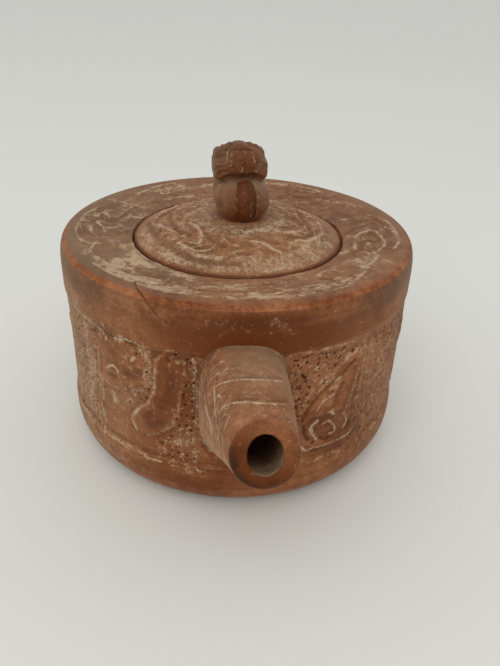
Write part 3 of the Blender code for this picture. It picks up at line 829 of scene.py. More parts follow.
class MaterialBench(NodeBench):
    """Nodes of one material."""

    def __init__(self, name: str) -> None:
        """Start a material with its Principled shader.

        Args:
            name: Name of the material.
        """
        self.material = bpy.data.materials.new(name)
        self.material.use_nodes = True
        super().__init__(self.material.node_tree)
        self.shader = self.tree.nodes["Principled BSDF"]
        self.place = self.tree.nodes.new("ShaderNodeTexCoord").outputs["Object"]

    def tone(self, name: str) -> Socket:
        """Value of a mesh attribute.

        Args:
            name: Attribute.

        Returns:
            Its value.
        """
        node = self.tree.nodes.new("ShaderNodeAttribute")
        node.attribute_name = name
        return node.outputs["Fac"]

    def stretched(self, scales: tuple[float, float, float]) -> Socket:
        """Object place with each axis scaled.

        Args:
            scales: Factor along each axis.

        Returns:
            The scaled place.
        """
        node = self.tree.nodes.new("ShaderNodeMapping")
        node.inputs["Scale"].default_value = scales
        self.link(self.place, node.inputs["Vector"])
        return node.outputs["Vector"]

    def noise(self, feature: float, detail: float, place: Socket | None = None,
              roughness: float = 0.55) -> Socket:
        """Noise in the clay.

        Args:
            feature: About the size of its lumps, in metres.
            detail: How many finer layers it has.
            place: Where it is read, if not at the object's place.
            roughness: Strength of the finer layers.

        Returns:
            Value from 0 to 1.
        """
        node = self.tree.nodes.new("ShaderNodeTexNoise")
        node.inputs["Scale"].default_value = 1.0 / feature
        node.inputs["Detail"].default_value = detail
        node.inputs["Roughness"].default_value = roughness
        self.link(self.place if place is None else place, node.inputs["Vector"])
        return node.outputs["Fac"]

    def times(self, first: Socket, second: Socket | float) -> Socket:
        """Product of two values.

        Args:
            first: A value.
            second: A value or a number.

        Returns:
            Their product.
        """
        node = self.tree.nodes.new("ShaderNodeMath")
        node.operation = "MULTIPLY"
        self.link(first, node.inputs[0])
        if isinstance(second, float):
            node.inputs[1].default_value = second
        else:
            self.link(second, node.inputs[1])
        return node.outputs[0]

    def ramp(self, source: Socket, stops: Sequence[tuple[float, Colour]]) -> Socket:
        """Colour along a row of stops.

        Args:
            source: Value that runs along the row.
            stops: Place and colour of each stop.

        Returns:
            The colour.
        """
        node = self.tree.nodes.new("ShaderNodeValToRGB")
        row = node.color_ramp.elements
        row[0].position, row[0].color = stops[0][0], (*stops[0][1], 1.0)
        row[1].position, row[1].color = stops[-1][0], (*stops[-1][1], 1.0)
        for position, colour in stops[1:-1]:
            row.new(position).color = (*colour, 1.0)
        self.link(source, node.inputs["Fac"])
        return node.outputs["Color"]

    def mix(self, factor: Socket, first: Socket | Colour, second: Socket | Colour) -> Socket:
        """Blend of two colours.

        Args:
            factor: Share of the second.
            first: A colour or its socket.
            second: A colour or its socket.

        Returns:
            The blend.
        """
        node = self.tree.nodes.new("ShaderNodeMix")
        node.data_type = "RGBA"
        self.link(factor, node.inputs["Factor"])
        for socket, colour in (("A", first), ("B", second)):
            target = [put for put in node.inputs if put.name == socket and put.type == "RGBA"][0]
            if isinstance(colour, tuple):
                target.default_value = (*colour, 1.0)
            else:
                self.link(colour, target)
        return [out for out in node.outputs if out.type == "RGBA"][0]

    def bump(self, height: Socket, strength: float, distance: float) -> None:
        """Fine relief.

        Args:
            height: Value that lifts the surface.
            strength: Share of the full relief.
            distance: Full relief in metres.
        """
        node = self.tree.nodes.new("ShaderNodeBump")
        node.inputs["Strength"].default_value = strength
        node.inputs["Distance"].default_value = distance
        self.link(height, node.inputs["Height"])
        self.link(node.outputs["Normal"], self.shader.inputs["Normal"])


@dataclass(frozen=True)
class ClayFinish:
    """Unglazed fired clay: residue in its cuts, a film of dust and painted sheen, polish, wear and painted
    shade.
    """

    name: str
    deep: Colour = (0.130, 0.033, 0.009)
    plain: Colour = (0.240, 0.079, 0.026)
    light: Colour = (0.345, 0.135, 0.058)
    polished: Colour = (0.132, 0.030, 0.004)
    residue: Colour = (0.450, 0.328, 0.208)
    # film colour: dust, and painted sheen where the film lies on grazing sides and behind
    dust_and_sheen: Colour = (0.235, 0.155, 0.090)
    # near black: painted shade in holes, cuts and hollows, and darker clay on the knob
    soot: Colour = (0.016, 0.008, 0.004)
    roughness: float = 0.56
    dusty_roughness: float = 0.85
    shine: float = 0.12
    sheen: float = 0.10
    tooling: float = 0.0
    grain: float = 0.40
    clouds: float = 0.020
    mottles: float = 0.0026
    grit: float = 0.0012
    speck: float = 0.00045
    fleck: float = 0.0007
    streak: float = 0.012
    streak_scales: tuple[float, float, float] = (0.12, 0.12, 14.0)
    relief: float = 0.0004

    def make(self) -> Material:
        """Clay with its residue, a film of dust and painted sheen, polish, and painted shade towards near
        black.

        Returns:
            The material.
        """
        bench = MaterialBench(self.name)
        clouds = bench.noise(self.clouds, 4.0)
        mottles = bench.noise(self.mottles, 5.0, roughness=0.62)
        speck = bench.noise(self.speck, 2.0)
        grit = bench.noise(self.grit, 3.0, roughness=0.6)
        streak = bench.noise(self.streak, 3.0, bench.stretched(self.streak_scales))
        # the shade tone lowers the clay's tone: painted shade, and darker clay on the knob
        tone = bench.sum(((clouds, 0.72), (mottles, 0.62), (speck, 0.34), (streak, 0.25 * self.tooling),
                          (bench.tone("shade_and_dark_clay"), -0.20)), -0.32 - 0.125 * self.tooling)
        clay = bench.ramp(tone, ((0.34, self.deep), (0.52, self.plain), (0.70, self.light)))
        warm = bench.rise(bench.sum(((bench.tone("warm"), 1.0), (mottles, 0.35)), -0.175), 0.05, 0.85)
        clay = bench.mix(warm, clay, self.polished)
        # the shade tone also mixes towards near black: painted shade, and darker clay on the knob
        clay = bench.mix(bench.times(bench.tone("shade_and_dark_clay"), 0.30), clay, self.soot)
        # film of dust, with painted sheen where it lies on grazing sides and behind
        film = bench.times(bench.tone("film"), bench.sum(((clouds, 0.7), (mottles, 0.7)), 0.3))
        clay = bench.mix(film, clay, self.dust_and_sheen)
        held = bench.sum(((bench.tone("pale"), 1.0), (mottles, 0.80), (grit, 1.70), (speck, 1.10),
                          (clouds, 0.20)), -1.90)
        held = bench.rise(held, 0.22, 1.05, 0.0, 0.92)
        clay = bench.mix(held, clay, self.residue)
        flecks = bench.rise(bench.noise(self.fleck, 1.0), 0.70, 0.78, 0.0, 0.16)
        clay = bench.mix(flecks, clay, self.residue)
        # holes and cuts painted near black: painted shade in them
        pit = bench.rise(bench.tone("pit"), 0.15, 0.85, 0.0, 0.88)
        clay = bench.mix(pit, clay, self.soot)
        bench.link(clay, bench.shader.inputs["Base Color"])
        rough = bench.sum(((held, self.dusty_roughness - self.roughness), (mottles, 0.14), (speck, 0.10)),
                          self.roughness - 0.12)
        bench.link(rough, bench.shader.inputs["Roughness"])
        bench.shader.inputs["Specular IOR Level"].default_value = self.shine
        bench.shader.inputs["Sheen Weight"].default_value = self.sheen
        bench.shader.inputs["Sheen Roughness"].default_value = 0.4
        bench.shader.inputs["Sheen Tint"].default_value = (1.0, 0.66, 0.42, 1.0)
        relief = bench.sum(((speck, 0.34), (mottles, 0.60), (streak, 0.5 * self.tooling), (held, 0.22)))
        bench.bump(relief, self.grain, self.relief)
        return bench.material


@dataclass(frozen=True)
class FloorFinish:
    """Plain pale studio floor."""

    name: str = "studio_floor"
    colour: Colour = (0.700, 0.708, 0.672)

    def make(self) -> Material:
        """Pale floor with faint clouds.

        Returns:
            The material.
        """
        bench = MaterialBench(self.name)
        cloud = bench.noise(0.5, 2.0)
        low = tuple(0.99 * value for value in self.colour)
        bench.link(bench.ramp(cloud, ((0.3, low), (0.7, self.colour))), bench.shader.inputs["Base Color"])
        bench.shader.inputs["Roughness"].default_value = 0.9
        bench.shader.inputs["Specular IOR Level"].default_value = 0.2
        return bench.material


class Motif(Enum):
    """Raised forms of the wall's band."""

    LEAF = "long leaf with a curl at its foot"
    LOBE = "upright lobe with a turned foot"
    CLOUD = "broad lobed cloud"


@dataclass(frozen=True)
class MotifShape:
    """Outline as shares of the band's height, and the angles in degrees that it stands at."""

    outline_shares: tuple[tuple[float, float], ...]
    angles: tuple[float, ...]

    def turns(self) -> list[float]:
        """Angles in radians from the one that the photograph shows."""
        return [math.radians(angle - self.angles[0]) for angle in self.angles]


MOTIF_SHAPES: dict[Motif, MotifShape] = {
    Motif.LEAF: MotifShape(((-0.29, 0.34), (-0.295, 0.47), (-0.21, 0.61), (-0.06, 0.75), (0.065, 0.86),
                            (0.205, 0.90), (0.28, 0.785), (0.29, 0.585), (0.285, 0.355), (0.235, 0.125),
                            (0.09, 0.085), (-0.11, 0.11), (-0.25, 0.20)), (27.0, 132.0, -140.0)),
    Motif.LOBE: MotifShape(((0.003, 0.92), (0.103, 0.965), (0.203, 0.94), (0.223, 0.815), (0.21, 0.655),
                            (0.163, 0.50), (0.10, 0.365), (0.01, 0.26), (-0.09, 0.20), (-0.20, 0.22),
                            (-0.24, 0.31), (-0.185, 0.41), (-0.083, 0.52), (-0.04, 0.67), (-0.035, 0.815)),
                           (-26.5, 93.5, -91.5)),
    Motif.CLOUD: MotifShape(((-0.18, 0.937), (-0.054, 0.965), (0.08, 0.957), (0.19, 0.90), (0.255, 0.80),
                             (0.26, 0.656), (0.19, 0.573), (0.06, 0.539), (-0.054, 0.51), (-0.17, 0.513),
                             (-0.238, 0.60), (-0.255, 0.73), (-0.232, 0.842)), (-40.2, 79.8, -105.2)),
}

# Routes are pixels of the photograph, then come half width, depth, cut and residue. Later strokes cut
# into earlier ones, so their order stays.
WALL_STROKES: dict[Motif, tuple[Stroke, ...]] = {
    Motif.LEAF: (
        Stroke(((299, 416), (306, 403), (315, 391), (325.5, 380.5), (337.5, 370), (349.5, 358), (360, 349)),
               0.60, 0.34, Cut.RIDGE, 0.26),
        Stroke(((303, 422), (311, 408), (322, 395), (334, 384), (347, 371), (355, 361)),
               0.85, 0.42, Cut.HOLLOW, 0.3),
        Stroke(((342, 378), (336, 385), (333, 392.5)), 0.42, 0.28, Cut.GROOVE, 0.90),
        Stroke(((337, 394), (328.5, 398.5), (322.5, 403), (316.5, 413)), 0.50, 0.28, Cut.RIDGE, 0.50),
        Stroke(((353, 361), (358.5, 367), (357, 376), (351, 394), (346.5, 407.5), (343.5, 415)),
               0.65, 0.34, Cut.RIDGE, 0.26),
        Stroke(((361, 372), (358, 386), (354, 400), (352, 414), (346, 427)), 0.70, 0.34, Cut.HOLLOW, 0.2),
        Stroke(((344, 384), (338, 396), (335, 406)), 1.00, 0.36, Cut.HOLLOW, 0.2),
        Stroke(((318, 421), (312, 425.5), (310.5, 430), (313.5, 436), (316.5, 440)),
               0.75, 0.42, Cut.RIDGE, 0.95),
        Stroke(((304, 427), (304.5, 434.5), (308, 441)), 0.60, 0.45, Cut.DARK, 0.45),
        Stroke(((320, 438), (324, 440), (330, 437.5)), 0.55, 0.40, Cut.DARK, 0.45),
        Stroke(((312, 444), (315, 443)), 0.55, 0.35, Cut.DARK, 0.5),
        Stroke(((322, 425), (328, 421), (334, 425), (334, 431), (329, 434)), 0.60, 0.34, Cut.RIDGE, 0.45),
        Stroke(((328.5, 412.7), (331.5, 412), (334.5, 414.2)), 0.45, 0.24, Cut.RIDGE, 1.0),
        Stroke(((345, 414), (346.5, 421), (344, 427)), 0.50, 0.26, Cut.RIDGE, 0.65),
        Stroke(((301, 449), (307.5, 451), (321, 446.5), (333, 442), (345, 436), (353, 429), (358, 419)),
               0.50, 0.24, Cut.RIDGE, 0.60),
        Stroke(((302, 448.5), (306, 452), (311, 450)), 0.80, 0.22, Cut.RIDGE, 0.90),
        Stroke(((352.5, 387), (357.5, 388)), 0.45, 0.20, Cut.DOTS, 0.72),
    ),
    Motif.LOBE: (
        Stroke(((163, 355), (156.5, 361.7), (154, 374), (153, 390), (150, 402), (142.7, 406.5)),
               0.70, 0.30, Cut.RIDGE, 0.26),
        Stroke(((142.7, 406.5), (134.9, 411.6), (131.5, 420), (135.8, 430.6)), 0.70, 0.30, Cut.RIDGE, 0.45),
        Stroke(((135, 430), (142.7, 434.9), (151.3, 435.7), (159.9, 433), (168, 430)),
               0.55, 0.20, Cut.DOTS, 0.65),
        Stroke(((160, 433), (170, 428), (177, 419), (179, 406), (178.8, 396)), 0.60, 0.24, Cut.RIDGE, 0.34),
        Stroke(((150, 412), (146, 420), (152, 426), (162, 424)), 1.20, 0.22, Cut.HOLLOW, 0.2),
        Stroke(((168, 372), (170, 384), (168, 396), (162, 408)), 1.60, 0.26, Cut.HOLLOW, 0.4),
        Stroke(((166, 360), (172, 357), (178, 360)), 0.80, 0.34, Cut.HOLLOW, 0.5),
        Stroke(((167, 362), (168.2, 363)), 0.45, 0.45, Cut.DARK, 1.0),
        Stroke(((165, 351.5), (171, 351.5), (177, 353)), 0.30, 0.12, Cut.RIDGE, 0.75),
    ),
    Motif.CLOUD: (
        Stroke(((104.8, 368.6), (110, 366), (115.1, 367.7), (117.7, 373.7)), 0.50, 0.26, Cut.RIDGE, 0.80),
        Stroke(((107, 374), (111, 376.5), (115, 377)), 0.90, 0.38, Cut.HOLLOW, 0.4),
        Stroke(((130.5, 361.5), (133.5, 357.5)), 0.62, 0.26, Cut.RIDGE, 1.0),
        Stroke(((105.1, 337), (105.1, 340)), 0.40, 0.16, Cut.RIDGE, 0.8),
        Stroke(((113.4, 339.3), (120.3, 341)), 0.42, 0.12, Cut.STAIN, 0.8),
        Stroke(((116.8, 335.5), (123, 338.5), (130.6, 342.7)), 0.32, 0.14, Cut.RIDGE, 1.0),
        Stroke(((119.4, 389), (128, 391), (137, 392), (146, 391)), 0.55, 0.30, Cut.DOTS, 0.61),
        Stroke(((122, 386), (131, 388), (141, 387)), 0.45, 0.26, Cut.DOTS, 0.43),
        Stroke(((98, 352), (99, 368), (101.3, 380), (102.2, 396), (100.5, 406.5), (105.6, 422)),
               0.60, 0.28, Cut.RIDGE, 0.34),
        Stroke(((95, 345), (94, 368), (96, 390)), 0.60, 0.26, Cut.HOLLOW, 0.3),
        Stroke(((124, 372), (131, 377), (139, 372)), 1.30, 0.22, Cut.HOLLOW, 0.3),
    ),
}

BAND_STAINS = (
    Stroke(((111.7, 437.5), (121, 443.5), (130.6, 447.8)), 0.36, 0.12, Cut.GROOVE, 1.0),
    Stroke(((142.7, 456.4), (152, 460), (161.6, 462.4)), 0.34, 0.12, Cut.GROOVE, 0.95),
    Stroke(((166, 464), (178, 468), (196, 472)), 0.36, 0.10, Cut.DOTS, 0.58),
    Stroke(((180, 470), (192, 472), (204, 475)), 2.2, 0.0, Cut.STAIN, 0.36),
    Stroke(((176, 440), (188, 446), (200, 456), (206, 466)), 3.0, 0.0, Cut.STAIN, 0.34),
    Stroke(((140, 348), (144, 358), (147, 372), (147, 386)), 1.6, 0.0, Cut.STAIN, 0.40),
    Stroke(((84, 318), (92, 326), (100, 332)), 1.0, 0.0, Cut.STAIN, 0.50),
    Stroke(((86, 350), (90, 375), (90, 400)), 2.2, 0.0, Cut.STAIN, 0.34),
    Stroke(((110, 392), (113, 400), (112, 408)), 1.3, 0.0, Cut.STAIN, 0.42),
    Stroke(((207, 322), (218, 323), (226, 321)), 1.1, 0.0, Cut.STAIN, 0.26),
    Stroke(((270, 323), (278, 322), (286, 325)), 1.2, 0.0, Cut.STAIN, 0.30),
    Stroke(((282, 330), (290, 333), (298, 332)), 1.0, 0.0, Cut.STAIN, 0.26),
    Stroke(((220, 335), (232, 330), (245, 332), (262, 334), (280, 331)), 0.6, 0.0, Cut.STAIN, 0.24),
)


@dataclass(frozen=True)
class PunchedGround:
    """Punched part of the band: angles in degrees, heights, and the share of holes that residue fills."""

    start: float
    end: float
    low: float
    high: float
    filled: float


PUNCHED_GROUNDS = (
    PunchedGround(-70.0, -48.0, 14.0, 51.0, 0.50),
    PunchedGround(-39.0, -26.0, 30.0, 51.0, 0.85),
    PunchedGround(-23.0, -12.0, 22.0, 51.0, 0.32),
    PunchedGround(-28.0, -6.0, 14.5, 27.0, 0.80),
    PunchedGround(11.0, 28.0, 29.0, 51.0, 0.26),
    PunchedGround(28.0, 38.0, 44.0, 51.0, 0.26),
    PunchedGround(35.0, 66.0, 15.0, 51.0, 0.24),
    PunchedGround(66.0, 290.0, 14.0, 51.0, 0.40),
)

CRACK_ROUTE: tuple[Pixel, ...] = ((134.5, 281.4), (137.3, 288.3), (141, 294), (144.2, 299), (148, 305),
                                  (151.8, 309.7), (156, 315), (160.3, 319), (167, 323), (173.3, 326.6))


@dataclass
class Drum:
    """Round body of the pot: base, side wall and shoulder under one carved outer skin.

    Sizes come first, then where tones set in: arc lengths from the spout, heights, or radii on top. A
    pair is the middle and width of a bell.
    """

    view: PhotoView
    radius: float = 50.0
    foot_radius: float = 49.7
    flat_radius: float = 39.2
    corner_height: float = 12.1
    wall: float = 3.2
    floor: float = 4.0
    lower_seam: float = 12.25
    upper_seam: float = 55.45
    shoulder_start: float = 55.6
    shoulder_width: float = 3.1
    shoulder_power: float = 3.3
    height: float = 63.5
    mouth_radius: float = 30.0
    mouth_top: float = 61.5
    underside: float = 58.7
    band_low: float = 15.6
    band_high: float = 50.5
    ground_depth: float = 0.42
    motif_depth: float = 0.20
    spout_strip: float = 13.0
    handle_strip: float = 7.2
    hole_depth: float = 0.58
    strainer_height: float = 35.7
    strainer_ring: float = 5.2
    strainer_radius: float = 1.5
    fine: float = 0.335
    coarse: float = 0.85
    front_half: float = math.radians(66.0)
    front_cell: float = 0.29
    back_cell: float = 0.52
    spout_arc: float = -1.3
    tree_columns: int = 360
    edge_rows: int = 4
    hand_swell: float = 0.16
    hand_sink: float = 0.14
    line_width: float = 0.30
    line_depth: float = 0.22
    carved_edge: Fade = Fade(43.8, 46.2)
    polished_front: tuple[float, float] = (4.0, 30.0)
    rubbed_front: tuple[float, float] = (-14.0, 22.0)
    clean_front: tuple[float, float] = (0.0, 50.0)
    skin_edge: float = 48.0
    under_shoulder: Zone = Zone(49.5, 52.0, 57.0, 60.5)
    wall_front_end: Fade = Fade(48.0, 52.0)
    brow: Spot = Spot(2.0, 14.0, 59.8, 2.8)
    leaf_shadow: Spot = Spot(33.0, 9.0, 24.0, 12.0)
    sideways: Fade = Fade(15.0, 60.0)
    backwards: Fade = Fade(80.0, 115.0)
    foot_end: Fade = Fade(6.0, 14.0)
    wall_end: Fade = Fade(54.0, 60.0)
    turning: Fade = Fade(54.5, 59.0)
    angles: Array = field(init=False)

    def __post_init__(self) -> None:
        """Set the columns: fine in front and a little coarser behind."""
        front = round(2.0 * self.front_half * self.radius / self.front_cell)
        back = round(2.0 * (math.pi - self.front_half) * self.radius / self.back_cell)
        first = np.linspace(-self.front_half, self.front_half, front, endpoint=False)
        last = np.linspace(self.front_half, FULL_TURN - self.front_half, back, endpoint=False)
        self.angles = np.concatenate([first, last])

    def outer_profile(self) -> tuple[Array, Array]:
        """Outer skin from the base's centre to the mouth.

        Returns:
            Radii and heights of its points.
        """
        flat = [(share * self.flat_radius, 0.0) for share in (0.0, 0.25, 0.5, 0.72, 0.88, 0.96, 1.0)]
        width = self.foot_radius - self.flat_radius
        corner = []
        for angle in np.linspace(-math.pi / 2.0, 0.0, 24)[1:]:
            corner.append((self.flat_radius + width * math.cos(angle),
                           self.corner_height * (1.0 + math.sin(angle))))
        levels = np.concatenate([
            np.arange(self.lower_seam, self.band_low - 1.0, self.coarse),
            np.arange(self.band_low - 1.0, self.upper_seam - 0.2, self.fine),
            [self.upper_seam]])
        taper = (self.radius - self.foot_radius) / (self.shoulder_start - self.corner_height)
        wall = [(self.foot_radius + taper * (level - self.corner_height), level) for level in levels]
        return self.join_profile(flat + corner + wall + self.shoulder_profile())

    def shoulder_profile(self) -> list[tuple[float, float]]:
        """Rounded outer corner, dished top and the mouth's edge.

        Returns:
            Radius and height of each point.
        """
        middle = self.radius - self.shoulder_width
        rise = self.height - self.shoulder_start
        turn = []
        for angle in np.linspace(0.0, math.pi / 2.0, 42):
            across = abs(math.cos(angle)) ** (2.0 / self.shoulder_power)
            along = abs(math.sin(angle)) ** (2.0 / self.shoulder_power)
            turn.append((middle + self.shoulder_width * across, self.shoulder_start + rise * along))
        drop = (self.height - self.mouth_top) / (middle - self.mouth_radius)
        top = [(radius, self.height - drop * (middle - radius))
               for radius in np.arange(middle - self.fine, self.mouth_radius + 0.5, -self.fine)]
        worn_edge = ((0.42, 0.02), (0.20, -0.06), (0.05, -0.22), (0.0, -0.45))
        edge = [(self.mouth_radius + out, self.mouth_top + up) for out, up in worn_edge]
        edge += [(self.mouth_radius + out, self.underside + up)
                 for out, up in ((0.0, 0.9), (0.0, 0.3), (0.25, 0.0))]
        return turn + top + edge

    def join_profile(self, points: Sequence[tuple[float, float]]) -> tuple[Array, Array]:
        """Profile without near repeats.

        Args:
            points: Radius and height of each point.

        Returns:
            Radii and heights.
        """
        closest = 0.05
        kept = [points[0]]
        for point in points[1:]:
            if math.dist(point, kept[-1]) > closest:
                kept.append(point)
        profile = np.array(kept)
        return profile[:, 0], profile[:, 1]

    def motif_chart(self, shape: MotifShape, angle: float) -> Array:
        """Outline of a motif in the wall's chart.

        Args:
            shape: The motif.
            angle: Where it stands, in degrees.

        Returns:
            Arc length and height of each corner.
        """
        shares = np.array(shape.outline_shares) * (self.band_high - self.band_low)
        middle = math.radians(angle) * self.radius
        return flowing_route(shares + [middle, self.band_low], closed=True, steps=4)

    def carve_wall(self, canvas: Canvas, arc: Array, level: Array, on_wall: Array) -> None:
        """Sink the band's ground, leave the motifs raised and punch the ground.

        Args:
            canvas: Outer skin.
            arc: Arc length of each place from the spout.
            level: Height of each place.
            on_wall: Which places lie on the upright wall.
        """
        chart = np.column_stack([arc, level])[on_wall]
        places = canvas.places[on_wall]
        unrolled = chart[:, :1] * [1.0, 0.0, 0.0]
        waver = 0.5 * (lattice_noise(unrolled, cell=9.0, seed=71) - 0.5)
        band = Zone(self.band_low - 0.2, self.band_low + 1.7, self.band_high - 1.5, self.band_high + 0.2)
        in_band = band.of(chart[:, 1] + waver)
        raised = np.zeros(len(chart))
        girth = FULL_TURN * self.radius
        for shape in MOTIF_SHAPES.values():
            for angle in shape.angles:
                outline = self.motif_chart(shape, angle)
                for lap in (-girth, 0.0, girth):
                    signed = inside_distance(chart, outline + [lap, 0.0])
                    raised = np.maximum(raised, smooth_step(-0.9, 1.5, signed))
        for middle, half_width in ((self.spout_arc, self.spout_strip), (girth / 2.0, self.handle_strip)):
            away = np.abs((chart[:, 0] - middle + girth / 2.0) % girth - girth / 2.0)
            raised = np.maximum(raised, 1.0 - smooth_step(half_width - 2.6, half_width + 0.4, away))
        ground = in_band * (1.0 - raised)
        holes, filled, within = self.punch_ground(chart, places)
        holes *= smooth_step(0.10, 0.50, ground)
        canvas.height[on_wall] -= self.motif_depth * in_band + self.ground_depth * ground
        canvas.height[on_wall] -= self.hole_depth * holes * (1.0 - 0.55 * filled)
        canvas.height[on_wall] += 0.16 * in_band * (layered_noise(places, cell=5.0, seed=91) - 0.5)
        edge = Zone(0.10, 0.45, 0.45, 0.90).of(ground)
        patch = layered_noise(places, cell=11.0, seed=31)
        canvas.pale[on_wall] += 0.34 * edge * smooth_step(0.40, 0.62, patch) * in_band
        canvas.pale[on_wall] = np.maximum(canvas.pale[on_wall], holes * filled)
        # empty holes painted dark: painted shade in them
        canvas.pit[on_wall] = np.maximum(canvas.pit[on_wall], holes * (1.0 - filled))
        canvas.film[on_wall] += 0.10 * ground * smooth_step(0.35, 0.6, patch)
        crumbs = smooth_step(0.50, 0.75, layered_noise(places, cell=0.9, seed=37, layers=2))
        canvas.pale[on_wall] += 0.34 * within * in_band * crumbs

    def punch_ground(self, chart: Array, places: Array) -> tuple[Array, Array, Array]:
        """Holes of the punched parts of the band.

        Args:
            chart: Arc length and height of each place.
            places: The same places in 3-D.

        Returns:
            Depth share of the holes, how far residue fills them, and where the ground is punched.
        """
        girth = FULL_TURN * self.radius
        holes, kind = Punch().holes(np.column_stack([chart[:, 0] + girth / 2.0, chart[:, 1]]), girth)
        ragged = 3.0 * (layered_noise(places, cell=4.0, seed=35) - 0.5)
        angle = np.degrees(chart[:, 0] / self.radius)
        within = np.zeros(len(chart))
        filled = np.zeros(len(chart))
        for part in PUNCHED_GROUNDS:
            turned = (angle - part.start) % 360.0
            width = part.end - part.start
            depth = np.minimum(turned, width - turned) * math.radians(self.radius) + ragged
            upright = np.minimum(chart[:, 1] - part.low, part.high - chart[:, 1])
            depth = np.minimum(depth, upright + 0.4 * ragged)
            inside = smooth_step(-0.2, 0.4, depth)
            within = np.maximum(within, inside)
            filled = np.where(inside > 0.1, np.where(kind < 0.16 + 0.84 * part.filled, 1.0, 0.0), filled)
        near_line = np.minimum(chart[:, 1] - self.band_low, self.band_high - chart[:, 1])
        within *= smooth_step(0.3, 0.9, near_line)
        return holes * within, filled, within

    def carve_top(self, canvas: Canvas, on_top: Array) -> None:
        """Leave a film, residue, low flowing relief and painted shade on the top ring.

        Args:
            canvas: Outer skin.
            on_top: Which places lie on the ring.
        """
        places = canvas.places[on_top]
        reach = np.hypot(places[:, 0], places[:, 1])
        inner = 1.0 - self.carved_edge.of(reach)
        front = smooth_step(-0.25, 0.75, -places[:, 1] / reach)
        left = smooth_step(0.1, 0.9, -places[:, 0] / reach)
        patch = layered_noise(places, cell=9.0, seed=51)
        angle = np.arctan2(places[:, 0], -places[:, 1])
        turned = np.column_stack([16.0 * angle, reach, places[:, 2]])
        drift = layered_noise(turned, cell=4.0, seed=61)
        scrolls = scrolled_noise(turned, cell=5.5, seed=65)
        canvas.film[on_top] += 0.16 + 0.18 * inner + 0.14 * left
        loose = 0.10 + 0.42 * front + 0.28 * left
        valley = smooth_step(0.54, 0.40, drift)
        held = (0.55 * valley + 0.55 * scrolls) * smooth_step(0.28, 0.55, patch)
        canvas.pale[on_top] += inner * loose * (0.12 + 1.7 * held)
        canvas.height[on_top] += inner * (0.60 * (drift - 0.5) + 0.26 * scrolls)
        # painted shade on the left of the top, which the lamp lights most, and a little darker at the back
        canvas.shade_and_dark_clay[on_top] += 0.75 * left + 0.16 * (1.0 - left) * (1.0 - front)
        # at the sides the outer edge gets film and painted shade; at the back film stands for dust and
        # painted sheen
        brink = (1.0 - inner) * smooth_step(0.45, 0.95, np.abs(places[:, 0]) / reach)
        canvas.film[on_top] += 0.16 * brink + 0.20 * (1.0 - inner) * (1.0 - front)
        canvas.shade_and_dark_clay[on_top] += 0.20 * brink

    def skin(self) -> tuple[Array, Array, Canvas, Array]:
        """Carved outer skin.

        Returns:
            Places as a grid, smooth normals as a grid, the canvas, and the profile's heights.
        """
        radii, heights = self.outer_profile()
        even = np.linspace(0.0, FULL_TURN, self.tree_columns, endpoint=False)
        coarse = turned_places(radii, heights, even)
        keep_tree("drum_skin", coarse.reshape(-1, 3), grid_faces(len(radii), self.tree_columns, False))
        plain = turned_places(radii, heights, self.angles)
        rows, columns = plain.shape[:2]
        canvas = Canvas(plain.reshape(-1, 3))
        arc = np.tile(self.angles, rows)
        arc = np.where(arc > math.pi, arc - FULL_TURN, arc) * self.radius
        radius_of = np.repeat(radii, columns)
        height_of = np.repeat(heights, columns)
        outer = radius_of > self.foot_radius - 0.5
        on_wall = outer & (height_of > self.lower_seam) & (height_of < self.upper_seam)
        on_top = (height_of > self.mouth_top - 0.1) & (radius_of < self.skin_edge)
        hand = layered_noise(canvas.places, cell=16.0, seed=11) - 0.5
        canvas.height += np.where(height_of > 2.0, self.hand_swell * hand - self.hand_sink, 0.0)
        self.carve_wall(canvas, arc, height_of, on_wall)
        self.carve_top(canvas, on_top)
        self.draw_lines(canvas, arc, height_of, on_wall)
        canvas.pale_edges_and_shaded_hollows((rows, columns), reach=9, rubbed=0.26)
        self.tint(canvas, arc, height_of, outer)
        lift = canvas.height.reshape(rows, columns)
        widest = (radii >= self.skin_edge)[:, None]
        lift = np.where(widest, np.minimum(lift, 0.0), lift)
        lift[heights < 0.01] = 0.0
        lift[-self.edge_rows:] = 0.0
        normals = profile_normals(radii, heights)
        carved = turned_places(radii[:, None] + lift * normals[:, :1],
                               heights[:, None] + lift * normals[:, 1:], self.angles)
        return carved, grid_normals(carved), canvas, heights

    def draw_lines(self, canvas: Canvas, arc: Array, level: Array, on_wall: Array) -> None:
        """Incise the band's two lines, the motifs' strokes, the stains and the crack.

        Args:
            canvas: Outer skin.
            arc: Arc length of each place from the spout.
            level: Height of each place.
            on_wall: Which places lie on the upright wall.
        """
        wave = 0.30 * np.sin(arc / 7.0) + 0.22 * np.sin(arc / 2.9 + 1.3)
        strength = smooth_step(0.40, 0.75, layered_noise(canvas.places * [1.0, 1.0, 0.1], cell=5.0, seed=81))
        for line, drift, held in ((self.band_low, 0.6, 0.85), (self.band_high, 1.0, 0.52)):
            cut = bell(level - line - drift * wave * 0.6, 0.0, self.line_width) * on_wall
            canvas.height -= self.line_depth * cut
            canvas.pale = np.maximum(canvas.pale, cut * (0.25 + strength) * held)
        for motif, shape in MOTIF_SHAPES.items():
            for turn in shape.turns():
                canvas.draw(WALL_STROKES[motif], self.view, "drum_skin", turn)
        canvas.draw(BAND_STAINS, self.view, "drum_skin")
        canvas.draw(TOP_STROKES, self.view, "drum_skin")
        canvas.draw(TOP_STROKES, self.view, "drum_skin", math.pi)
        crack = self.view.land(CRACK_ROUTE, "drum_skin")
        canvas.mark(flowing_route(crack), width=0.24, depth=0.16, cut=Cut.CRACK, residue=0.0)

